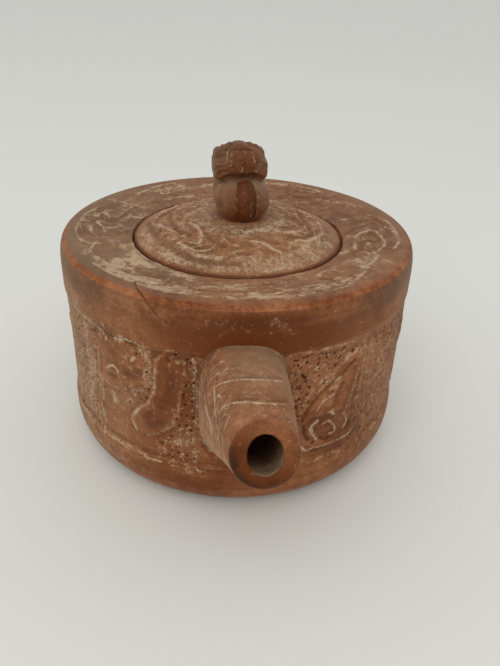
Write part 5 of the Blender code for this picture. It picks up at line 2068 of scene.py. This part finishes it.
@dataclass
class EarHandle:
    """Upright loop opposite the spout, pressed on the wall at both ends."""

    wall: float = 50.0
    reach: float = 28.0
    bottom: float = 16.5
    height: float = 32.5
    thickness: float = 7.2
    width: float = 10.0
    flare: float = 1.8
    flare_reach: float = 4.0
    squareness: float = 2.2
    route: tuple[tuple[float, float, float], ...] = (
        (-0.14, 0.93, 1.20), (0.22, 1.03, 1.10), (0.62, 1.02, 0.98), (0.93, 0.82, 0.92), (1.00, 0.52, 0.90),
        (0.86, 0.22, 0.92), (0.50, 0.02, 1.00), (0.14, -0.04, 1.12), (-0.14, -0.04, 1.20))
    columns: int = 96
    steps: int = 22

    def build(self, finish: Material) -> None:
        """Make the swept loop.

        Args:
            finish: Clay.
        """
        points = np.array([(weight, self.wall + self.reach * outward, self.bottom + self.height * upward)
                           for outward, upward, weight in self.route])
        line = flowing_route(points, steps=self.steps)
        weights = line[:, 0]
        line = line[:, 1:]
        inside = line[:, 0] > self.wall - 1.4
        line = line[inside]
        weights = weights[inside]
        heading = np.gradient(line, axis=0)
        heading /= np.linalg.norm(heading, axis=1, keepdims=True)
        side = np.column_stack([heading[:, 1], -heading[:, 0]])
        angles = np.linspace(0.0, FULL_TURN, self.columns, endpoint=False)
        away = np.clip(line[:, 0] - self.wall, 0.0, self.flare_reach)
        spread = self.flare * (1.0 - away / self.flare_reach) ** 2
        half = self.thickness / 2.0 * weights + spread
        broad = self.width / 2.0 * weights + spread
        across, along = superellipse(angles, np.array(self.squareness))
        grid = np.zeros((len(line), self.columns, 3))
        grid[..., 0] = broad[:, None] * across
        grid[..., 1:] = line[:, None, :] + side[:, None, :] * (half[:, None] * along)[..., None]
        canvas = Canvas(grid.reshape(-1, 3))
        canvas.height += 0.25 * (layered_noise(canvas.places, cell=8.0, seed=311) - 0.9)
        canvas.pale += 0.18 * layered_noise(canvas.places, cell=10.0, seed=321)
        canvas.film += 0.30 * layered_noise(canvas.places, cell=14.0, seed=341)
        canvas.warm += 0.5 * layered_noise(canvas.places, cell=12.0, seed=331)
        normals = grid_normals(grid).reshape(-1, 3)
        middles = np.repeat(np.column_stack([np.zeros(len(line)), line]), self.columns, axis=0)
        flip = np.sum(normals * (canvas.places - middles)) < 0.0
        shaped = canvas.lifted(-normals if flip else normals)
        cap_start = shaped[:self.columns].mean(0)
        cap_end = shaped[-self.columns:].mean(0)
        corners = np.vstack([cap_start, shaped, cap_end])
        mesh = clay_mesh("handle_loop", corners, capped_faces(len(line), self.columns),
                         capped_tones(canvas.tones()))
        if flip:
            mesh.flip_normals()
        piece_object("handle_loop", mesh, finish, "pot", ["handle"])


class Form:
    """Solid given by a signed distance, negative inside."""

    def distance(self, points: Array) -> Array:
        """Distance of each point."""
        raise NotImplementedError


@dataclass(frozen=True)
class SquaredBall(Form):
    """Ellipsoid pressed towards a box."""

    centre: tuple[float, float, float]
    radii: tuple[float, float, float]
    power: float

    def distance(self, points: Array) -> Array:
        """Distance along the line to the centre.

        Args:
            points: Places, one a row.

        Returns:
            One distance a point.
        """
        offset = points - np.array(self.centre)
        scaled = np.abs(offset) / np.array(self.radii)
        reach = np.sum(scaled ** self.power, axis=1) ** (1.0 / self.power)
        reach = np.maximum(reach, 1e-3)
        return np.linalg.norm(offset, axis=1) * (1.0 - 1.0 / reach)


@dataclass(frozen=True)
class Roll(Form):
    """Roll of clay along a route, flattened across X."""

    route: Array
    weights: Array
    half_width: float
    thickness: float

    def distance(self, points: Array) -> Array:
        """Distance to the roll's skin.

        Args:
            points: Places, one a row.

        Returns:
            One distance a point.
        """
        squeeze = np.array([self.thickness / self.half_width, 1.0, 1.0])
        away, share = route_distance(points * squeeze, self.route * squeeze)
        weight = np.interp(share, np.linspace(0.0, 1.0, len(self.weights)), self.weights)
        return away - self.thickness * weight


@dataclass(frozen=True)
class Joined(Form):
    """Two forms smeared into each other."""

    first: Form
    second: Form
    smear: float

    def distance(self, points: Array) -> Array:
        """Distance of the smeared union."""
        return blend_distance(self.first.distance(points), self.second.distance(points), self.smear)


@dataclass(frozen=True)
class Undercut(Form):
    """A form with another taken out of it."""

    body: Form
    tool: Form
    smear: float

    def distance(self, points: Array) -> Array:
        """Distance of what is left."""
        return -blend_distance(-self.body.distance(points), self.tool.distance(points), self.smear)


@dataclass(frozen=True)
class Luted(Form):
    """A form pressed on a host, with its fillet and a thin root in the host."""

    piece: Form
    host: Form
    smear: float
    root: float = 0.5

    def distance(self, points: Array) -> Array:
        """Distance of the piece and its fillet.

        Args:
            points: Places, one a row.

        Returns:
            One distance a point.
        """
        own = self.piece.distance(points)
        host = self.host.distance(points)
        joined = blend_distance(own, host, self.smear)
        return np.maximum(np.maximum(joined, own - self.smear), -(host + self.root))


@dataclass(frozen=True)
class Footed(Form):
    """A form that spreads at its foot and ends flat on what it stands on."""

    body: Form
    foot: float
    flare: float

    def distance(self, points: Array) -> Array:
        """Distance of the form with its foot.

        Args:
            points: Places, one a row.

        Returns:
            One distance a point.
        """
        height = np.clip(points[:, 2] - self.foot, 0.0, self.flare)
        spread = self.flare * (1.0 - height / self.flare) ** 2 * 0.8
        return np.maximum(self.body.distance(points) - spread, self.foot - points[:, 2])


def blend_distance(first: Array, second: Array, smear: float) -> Array:
    """Smaller of two distances with a rounded valley between them."""
    share = np.clip(0.5 + 0.5 * (second - first) / smear, 0.0, 1.0)
    return second + (first - second) * share - smear * share * (1.0 - share)


def net_mesh(form: Form, low: Array, high: Array, cell: float) -> tuple[Array, Array]:
    """Quads on the skin of a form.

    Args:
        form: What to cover.
        low: Lowest corner of the space to search.
        high: Highest corner of it.
        cell: Size of a quad.

    Returns:
        Corners and faces, four corner numbers each.
    """
    counts = np.ceil((high - low) / cell).astype(int) + 1
    lines = [low[axis] + cell * np.arange(counts[axis]) for axis in range(3)]
    lattice = np.stack(np.meshgrid(*lines, indexing="ij"), axis=-1)
    value = form.distance(lattice.reshape(-1, 3)).reshape(lattice.shape[:3])
    inside = value < 0.0
    size = np.array(value.shape) - 1
    total = np.zeros((*size, 3))
    count = np.zeros(size)
    for axis in range(3):
        ahead = [slice(None)] * 3
        behind = [slice(None)] * 3
        ahead[axis] = slice(1, None)
        behind[axis] = slice(None, -1)
        first, second = value[tuple(behind)], value[tuple(ahead)]
        crossed = (first < 0.0) != (second < 0.0)
        share = np.where(crossed, first / np.where(crossed, first - second, 1.0), 0.0)
        spot = lattice[tuple(behind)].copy()
        spot[..., axis] += share * cell
        for one in (0, 1):
            for two in (0, 1):
                pick = [None, None, None]
                pick[axis] = slice(0, size[axis])
                pick[(axis + 1) % 3] = slice(one, one + size[(axis + 1) % 3])
                pick[(axis + 2) % 3] = slice(two, two + size[(axis + 2) % 3])
                hit = crossed[tuple(pick)]
                total += np.where(hit[..., None], spot[tuple(pick)], 0.0)
                count += hit
    used = count > 0
    number = np.full(size, -1)
    number[used] = np.arange(used.sum())
    corners = total[used] / count[used][:, None]
    faces = []
    for axis in range(3):
        one, two = (axis + 1) % 3, (axis + 2) % 3
        behind = [slice(1, -1)] * 3
        ahead = [slice(1, -1)] * 3
        behind[axis] = slice(0, -1)
        ahead[axis] = slice(1, None)
        first, second = inside[tuple(behind)], inside[tuple(ahead)]
        for leaving in (True, False):
            place = np.argwhere((first != second) & (first == leaving))
            place[:, one] += 1
            place[:, two] += 1
            ring = []
            for shift_one, shift_two in ((-1, -1), (0, -1), (0, 0), (-1, 0)):
                cell_place = place.copy()
                cell_place[:, one] += shift_one
                cell_place[:, two] += shift_two
                ring.append(number[tuple(cell_place.T)])
            quads = np.stack(ring, axis=1)
            faces.append(quads if leaving else quads[:, ::-1])
    return corners, np.concatenate(faces)


KNOB_TONES: dict[str, tuple[float, float]] = {
    "knob_body": (0.36, 0.30), "knob_head": (0.20, 0.46), "knob_mane_lock": (0.18, 0.44),
    "knob_tail": (0.08, 0.78)}
PLAIN_KNOB_TONES = (0.24, 0.30)

KNOB_STROKES: dict[str, tuple[Stroke, ...]] = {
    "knob_body": (
        Stroke(((252.5, 184), (254.5, 192), (255.5, 202), (255.2, 212), (254, 218)),
               0.42, 0.60, Cut.DARK, 1.00),
        Stroke(((256.5, 186), (258, 198), (257.5, 210), (256, 217)), 0.39, 0.16, Cut.RIDGE, 0.44),
        Stroke(((251, 202), (251.5, 212), (250.5, 218)), 0.36, 0.10, Cut.RIDGE, 0.44),
        Stroke(((236.5, 192), (236.7, 204), (237.5, 217)), 0.39, 0.22, Cut.GROOVE, 0.40),
        Stroke(((217, 187), (226, 181), (236, 178.5), (246, 178), (256, 180), (263, 184)),
               0.52, 0.12, Cut.RIDGE, 0.62),
        Stroke(((227, 196), (226, 204), (228, 211)), 0.65, 0.20, Cut.RIDGE, 0.26),
        Stroke(((221, 192), (219, 200), (220, 208)), 0.70, 0.24, Cut.HOLLOW, 0.3),
    ),
    "knob_head": (
        Stroke(((229, 152), (229.2, 158), (229.5, 164)), 0.42, 0.60, Cut.DARK, 0.78),
        Stroke(((227, 151), (227.2, 160), (228, 168)), 0.39, 0.16, Cut.RIDGE, 0.48),
        Stroke(((231.5, 152), (232, 160), (231, 168), (233, 172)), 0.36, 0.16, Cut.RIDGE, 0.40),
        Stroke(((252, 152), (254, 158), (255.5, 167)), 0.39, 0.16, Cut.RIDGE, 0.37),
        Stroke(((257, 156), (258, 162), (258.5, 168)), 0.42, 0.50, Cut.DARK, 0.48),
        Stroke(((214, 164), (219, 161), (224, 161.5)), 0.30, 0.26, Cut.HOLLOW, 0.4),
        Stroke(((214, 170), (219, 167), (226, 167)), 0.30, 0.24, Cut.HOLLOW, 0.4),
        Stroke(((217, 175), (222, 172), (227, 172)), 0.30, 0.24, Cut.HOLLOW, 0.4),
        Stroke(((216, 157), (221, 155), (226, 155)), 0.30, 0.22, Cut.HOLLOW, 0.4),
        Stroke(((241, 167), (243, 169.5), (241.5, 173)), 0.34, 0.18, Cut.RIDGE, 0.39),
        Stroke(((222, 147.5), (228, 149.5), (236, 149), (246, 149), (254, 150)), 0.45, 0.24, Cut.HOLLOW, 0.2),
        Stroke(((260, 160), (264, 163), (266, 168)), 0.30, 0.24, Cut.HOLLOW, 0.3),
    ),
}


@dataclass
class LionKnob:
    """Seated lion modelled by hand, its back to the spout: haunches, head, tail, mane and paws."""

    view: PhotoView
    width: float = 15.5
    depth: float = 16.0
    height: float = 20.0
    offset: float = 0.6
    turn: float = math.radians(5.0)
    seat: float = 67.6
    foot: float = -0.35
    cell: float = 0.22
    trim_cell: float = 0.17
    tail_half_width: float = 2.2
    lock_half_width: float = 3.5
    roll_thickness: float = 1.45
    lock_thickness: float = 1.30
    leg_radius: float = 1.8
    curl_radius: float = 1.2
    curl_angles: tuple[float, ...] = (math.radians(34.0), math.radians(52.0), math.radians(68.0))
    large_parts: tuple[str, ...] = ("knob_body", "knob_head")
    spine_width: float = 3.9
    waist: float = 0.51
    waist_width: float = 0.05
    low_end: Fade = Fade(0.06, 0.28)

    def ball(self, centre: Sequence[float], radii: Sequence[float], power: float,
             side: float = 1.0) -> SquaredBall:
        """Lump of clay from shares of the half width, half depth and height.

        Args:
            centre: Its middle.
            radii: Its radii.
            power: How square it is.
            side: -1 for the mirrored one.

        Returns:
            The lump in the knob's own frame.
        """
        scale = np.array([self.width / 2.0, self.depth / 2.0, self.height])
        place = np.array(centre) * scale * [side, 1.0, 1.0]
        return SquaredBall(tuple(place), tuple(np.array(radii) * scale), power)

    def surface(self, form: Form, centre: Sequence[float], headings: Array, sunk: float) -> Array:
        """Places a little under a form's skin, seen from a point inside it.

        Args:
            form: What is looked at.
            centre: Point inside.
            headings: Unit vectors to look along.
            sunk: Depth under the skin.

        Returns:
            One place a heading.
        """
        low = np.zeros(len(headings))
        high = np.full(len(headings), self.height)
        for _ in range(30):
            middle = (low + high) / 2.0
            inside = form.distance(np.array(centre) + middle[:, None] * headings) < -sunk
            low = np.where(inside, middle, low)
            high = np.where(inside, high, middle)
        return np.array(centre) + low[:, None] * headings

    def roll(self, form: Form, centre: Sequence[float], half_width: float, start: float, end: float,
             thickness: float, sunk: float) -> Roll:
        """Roll laid over the back of a form.

        Args:
            form: What it lies on.
            centre: Point inside that angles are seen from.
            half_width: Half of its breadth.
            start: First angle, upwards from the level line to the lion's back.
            end: Last angle.
            thickness: Half of its thickness.
            sunk: How deep its middle line lies under the skin.

        Returns:
            The roll.
        """
        shares = np.linspace(0.0, 1.0, 25)
        angles = start + (end - start) * shares
        headings = np.column_stack([np.zeros(len(shares)), -np.cos(angles), np.sin(angles)])
        weights = 0.45 + 0.55 * np.sin(math.pi * shares) ** 0.5
        return Roll(self.surface(form, centre, headings, sunk), weights, half_width, thickness)

    def placed(self, points: Array) -> Array:
        """Points of the knob's own frame, in the row frame."""
        spin = np.array(Matrix.Rotation(self.turn, 3, "Z"))
        return points @ spin.T + [self.offset, 0.0, self.seat]

    def build(self, finish: Material) -> None:
        """Make every piece of the lion.

        Args:
            finish: Clay.
        """
        haunch = self.ball((0.0, -0.20, 0.245), (1.0, 0.95, 0.310), 2.3)
        chest = self.ball((-0.05, 0.36, 0.37), (0.95, 0.58, 0.36), 2.8)
        skull = self.ball((-0.07, 0.16, 0.725), (0.93, 0.78, 0.248), 2.25)
        hood = self.ball((-0.07, 0.14, 0.655), (0.97, 0.78, 0.155), 5.0)
        snout = self.ball((-0.07, 0.88, 0.68), (0.50, 0.36, 0.15), 2.2)
        trunk = Joined(haunch, chest, 1.4)
        arch = self.ball((-0.07, -0.66, 0.500), (0.84, 0.34, 0.150), 2.3)
        crown = Joined(skull, hood, 0.6)
        head = Undercut(Joined(crown, snout, 1.2), arch, 0.35)
        body = Footed(trunk, self.foot, 0.8)
        self.piece("body", body, finish)
        self.piece("head", Luted(head, trunk, 0.9, 1.2), finish)
        tail = self.roll(haunch, haunch.centre, self.tail_half_width, math.radians(-50.0), math.radians(72.0),
                         self.roll_thickness, 0.70)
        self.piece("tail", Footed(Luted(tail, trunk, 0.35), self.foot, 0.3), finish)
        lock = self.roll(crown, skull.centre, self.lock_half_width, math.radians(-30.0), math.radians(100.0),
                         self.lock_thickness, 0.90)
        crest = self.ball((-0.07, 0.30, 0.935), (0.30, 0.42, 0.050), 2.0)
        self.piece("mane_lock", Luted(Joined(lock, crest, 0.5), head, 0.25), finish)
        for label, side in (("left", -1.0), ("right", 1.0)):
            paw = self.ball((0.42, 0.98, 0.085), (0.26, 0.34, 0.085), 2.2, side)
            leg_place = (paw.centre[0], paw.centre[1] * 0.9)
            leg_route = np.array([(*leg_place, 0.2), (*leg_place, 4.0), (*leg_place, 7.6)])
            leg = Roll(leg_route, np.array([1.0, 0.95, 0.8]), self.leg_radius, self.leg_radius)
            limb = Luted(Joined(leg, paw, 0.8), trunk, 0.7)
            self.piece("foreleg_" + label, Footed(limb, self.foot, 0.4), finish)
            ear = self.ball((0.74, 0.44, 0.815), (0.19, 0.20, 0.085), 2.0, side)
            ear = SquaredBall((ear.centre[0] + skull.centre[0], ear.centre[1], ear.centre[2]), ear.radii, 2.0)
            self.piece("ear_" + label, Luted(ear, head, 0.6), finish)
            self.curls(label, side, crown, skull.centre, head, finish)

    def curls(self, label: str, side: float, crown: Form, centre: Sequence[float], head: Form,
              finish: Material) -> None:
        """Make the mane's curls on one side of the crest.

        Args:
            label: Left or right.
            side: -1 or 1.
            crown: Form that they lie on.
            centre: Point inside it that they are set out from.
            head: Form that they are luted to.
            finish: Clay.
        """
        for number, angle in enumerate(self.curl_angles, start=1):
            heading = np.array([[side * math.sin(angle), 0.0, math.cos(angle)]])
            place = self.surface(crown, centre, heading, 0.62 * self.curl_radius)[0]
            radii = (self.curl_radius, 1.5 * self.curl_radius, self.curl_radius)
            curl = Luted(SquaredBall(tuple(place), radii, 2.0), head, 0.8)
            self.piece("curl_" + label + "_" + str(number), curl, finish)

    def piece(self, part: str, form: Form, finish: Material) -> None:
        """Mesh one form and dress it.

        Args:
            part: What it is, as in the names of the piece and of its CAD node.
            form: Its solid in the knob's own frame.
            finish: Clay.
        """
        name = "lion_" + part
        node = "knob_" + part
        cell = self.cell if node in self.large_parts else self.trim_cell
        low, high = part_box(node)
        back = np.array(Matrix.Rotation(-self.turn, 3, "Z"))
        ends = np.array([(x, y, z) for x in (low.x, high.x) for y in (low.y, high.y)
                         for z in (low.z, high.z)])
        ends = (ends / MM - [self.offset, 0.0, self.seat]) @ back.T
        margin = 1.9
        corners, faces = net_mesh(form, ends.min(0) - margin, ends.max(0) + margin, cell)
        step = 0.02
        slope = np.stack([form.distance(corners + shift) - form.distance(corners - shift)
                          for shift in np.eye(3) * step], axis=1)
        slope = unit(slope)
        spin = np.array(Matrix.Rotation(self.turn, 3, "Z"))
        canvas = Canvas(self.placed(corners))
        canvas.height += 0.30 * (layered_noise(canvas.places, cell=3.0, seed=411) - 0.5) - 0.16
        keep_tree(name, canvas.places, faces.tolist())
        for drawn, trim in (("knob_body", "knob_tail"), ("knob_head", "knob_mane_lock")):
            if node in (drawn, trim):
                canvas.draw(KNOB_STROKES[drawn], self.view, name)
        film, warm = KNOB_TONES.get(node, PLAIN_KNOB_TONES)
        patch = layered_noise(canvas.places, cell=5.0, seed=421)
        level = corners[:, 2] / self.height
        spine = bell(corners[:, 0], 0.0, self.spine_width)
        # towards the foot less film and warmer clay: painted shade where the knob meets the lid
        lower = 1.0 - self.low_end.of(level)
        canvas.film += film * (0.4 + 1.2 * patch) * (1.0 - 0.95 * spine) * (1.0 - 0.7 * lower)
        canvas.film += 0.5 * bell(level, self.waist, self.waist_width) * (node == "knob_body")
        canvas.pale += 0.16 * patch * (1.0 - warm)
        canvas.warm += warm * (0.55 + 0.45 * lower) + 0.60 * spine * (node == "knob_body")
        # painted shade on the head and mane lock, which the light from above catches most; darker clay on the
        # tail, beside it on the body, and on the curls
        canvas.shade_and_dark_clay += 0.35 * (node in ("knob_mane_lock", "knob_head")) + 0.75 * (node == "knob_tail")
        canvas.shade_and_dark_clay += 0.80 * spine * (node == "knob_body")
        canvas.shade_and_dark_clay += 0.8 * node.startswith("knob_curl")
        shaped = canvas.lifted(slope @ spin.T)
        shaped[:, 2] = np.maximum(shaped[:, 2], self.seat + self.foot)
        mesh = clay_mesh(name, shaped, faces.tolist(), canvas.tones())
        piece_object(name, mesh, finish, "lid", [node])


@dataclass
class Studio:
    """Pale floor, soft surrounding light and the photograph's camera."""

    view: PhotoView
    floor_size: float = 12.0
    light: Colour = (1.0, 1.0, 0.985)
    front: float = 0.40
    top: float = 0.82
    side_pull: float = 0.28
    left_pull: float = -0.17
    back_pull: float = 0.28
    top_pull: float = 0.95
    key_power: float = 5.2
    key_place: tuple[float, float, float] = (-0.20, -0.80, 0.85)
    key_size: float = 1.1
    key_target: tuple[float, float, float] = (0.0, 0.0, 0.05)
    key_colour: Colour = (1.0, 0.985, 0.96)

    def build(self) -> None:
        """Set up everything that isn't the teapot."""
        self.lay_floor()
        self.light_world()
        self.place_camera()
        bpy.context.scene.view_settings.view_transform = "Standard"

    def lay_floor(self) -> None:
        """Pale floor that fills the background."""
        half = self.floor_size / 2.0
        corners = [(-half, -half, 0.0), (half, -half, 0.0), (half, half, 0.0), (-half, half, 0.0)]
        mesh = bpy.data.meshes.new("studio_floor")
        mesh.from_pydata(corners, [], [(0, 1, 2, 3)])
        mesh.materials.append(FloorFinish().make())
        add_object("studio_floor", mesh)

    def light_world(self) -> None:
        """Surroundings, darker on the camera's side, and a wide soft lamp above left."""
        world = bpy.data.worlds.new("studio")
        bpy.context.scene.world = world
        world.use_nodes = True
        bench = NodeBench(world.node_tree)
        place = bench.tree.nodes.new("ShaderNodeTexCoord")
        split = bench.tree.nodes.new("ShaderNodeSeparateXYZ")
        bench.link(place.outputs["Generated"], split.inputs[0])
        x, y, z = (split.outputs[axis] for axis in "XYZ")
        across = bench.tree.nodes.new("ShaderNodeMath")
        across.operation = "ABSOLUTE"
        bench.link(x, across.inputs[0])
        pulls = ((across.outputs[0], self.side_pull), (x, self.left_pull), (y, self.back_pull),
                 (z, self.top_pull))
        strength = bench.rise(bench.sum(pulls), -0.35, 0.75, self.front, self.top)
        ground = bench.tree.nodes["Background"]
        ground.inputs["Color"].default_value = (*self.light, 1.0)
        bench.link(strength, ground.inputs["Strength"])
        lamp = bpy.data.lights.new("softbox", "AREA")
        lamp.shape = "DISK"
        lamp.size = self.key_size
        lamp.energy = self.key_power
        lamp.color = self.key_colour
        holder = add_object("softbox", lamp)
        holder.location = self.key_place
        heading = Vector(self.key_target) - holder.location
        holder.rotation_euler = heading.to_track_quat("-Z", "Y").to_euler()

    def place_camera(self) -> None:
        """Camera at the photograph's angle."""
        data = bpy.data.cameras.new("photo_camera")
        data.sensor_width = 36.0
        data.lens = data.sensor_width * self.view.focal / self.view.height
        data.clip_start = 0.01
        camera = add_object("photo_camera", data)
        right, up, forward = self.view.axes()
        turned = Matrix((right, up, -forward)).transposed().to_4x4()
        camera.matrix_world = Matrix.Translation(Vector(self.view.place) * MM) @ turned
        bpy.context.scene.camera = camera


def dress_inside(finish: Material) -> None:
    """Give the seat ring and the flange their clay.

    Args:
        finish: Clay.
    """
    for name in ("lid_seat", "lid_flange"):
        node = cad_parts[name]
        node.data.materials.clear()
        node.data.materials.append(finish)


def main() -> None:
    """Build the teapot's looks piece by piece."""
    logging.basicConfig(level=logging.INFO, format="%(message)s")
    view = PhotoView()
    Studio(view).build()
    log.info("studio set up")
    body_clay = ClayFinish("drum_stoneware", tooling=1.0).make()
    Drum(view).build(body_clay)
    log.info("drum carved")
    Lid(view).build(ClayFinish("lid_stoneware").make())
    log.info("lid carved")
    Spout(view).build(ClayFinish("spout_stoneware", (0.160, 0.050, 0.018), (0.280, 0.104, 0.040),
                                 (0.420, 0.180, 0.085)).make())
    log.info("spout formed")
    EarHandle().build(ClayFinish("handle_stoneware").make())
    log.info("handle bent")
    LionKnob(view).build(ClayFinish("knob_stoneware", (0.095, 0.025, 0.007), (0.172, 0.056, 0.019),
                                    (0.250, 0.095, 0.040), roughness=0.48).make())
    log.info("lion modelled")
    dress_inside(ClayFinish("turned_stoneware", grain=0.2).make())


if __name__ == "__main__":
    main()
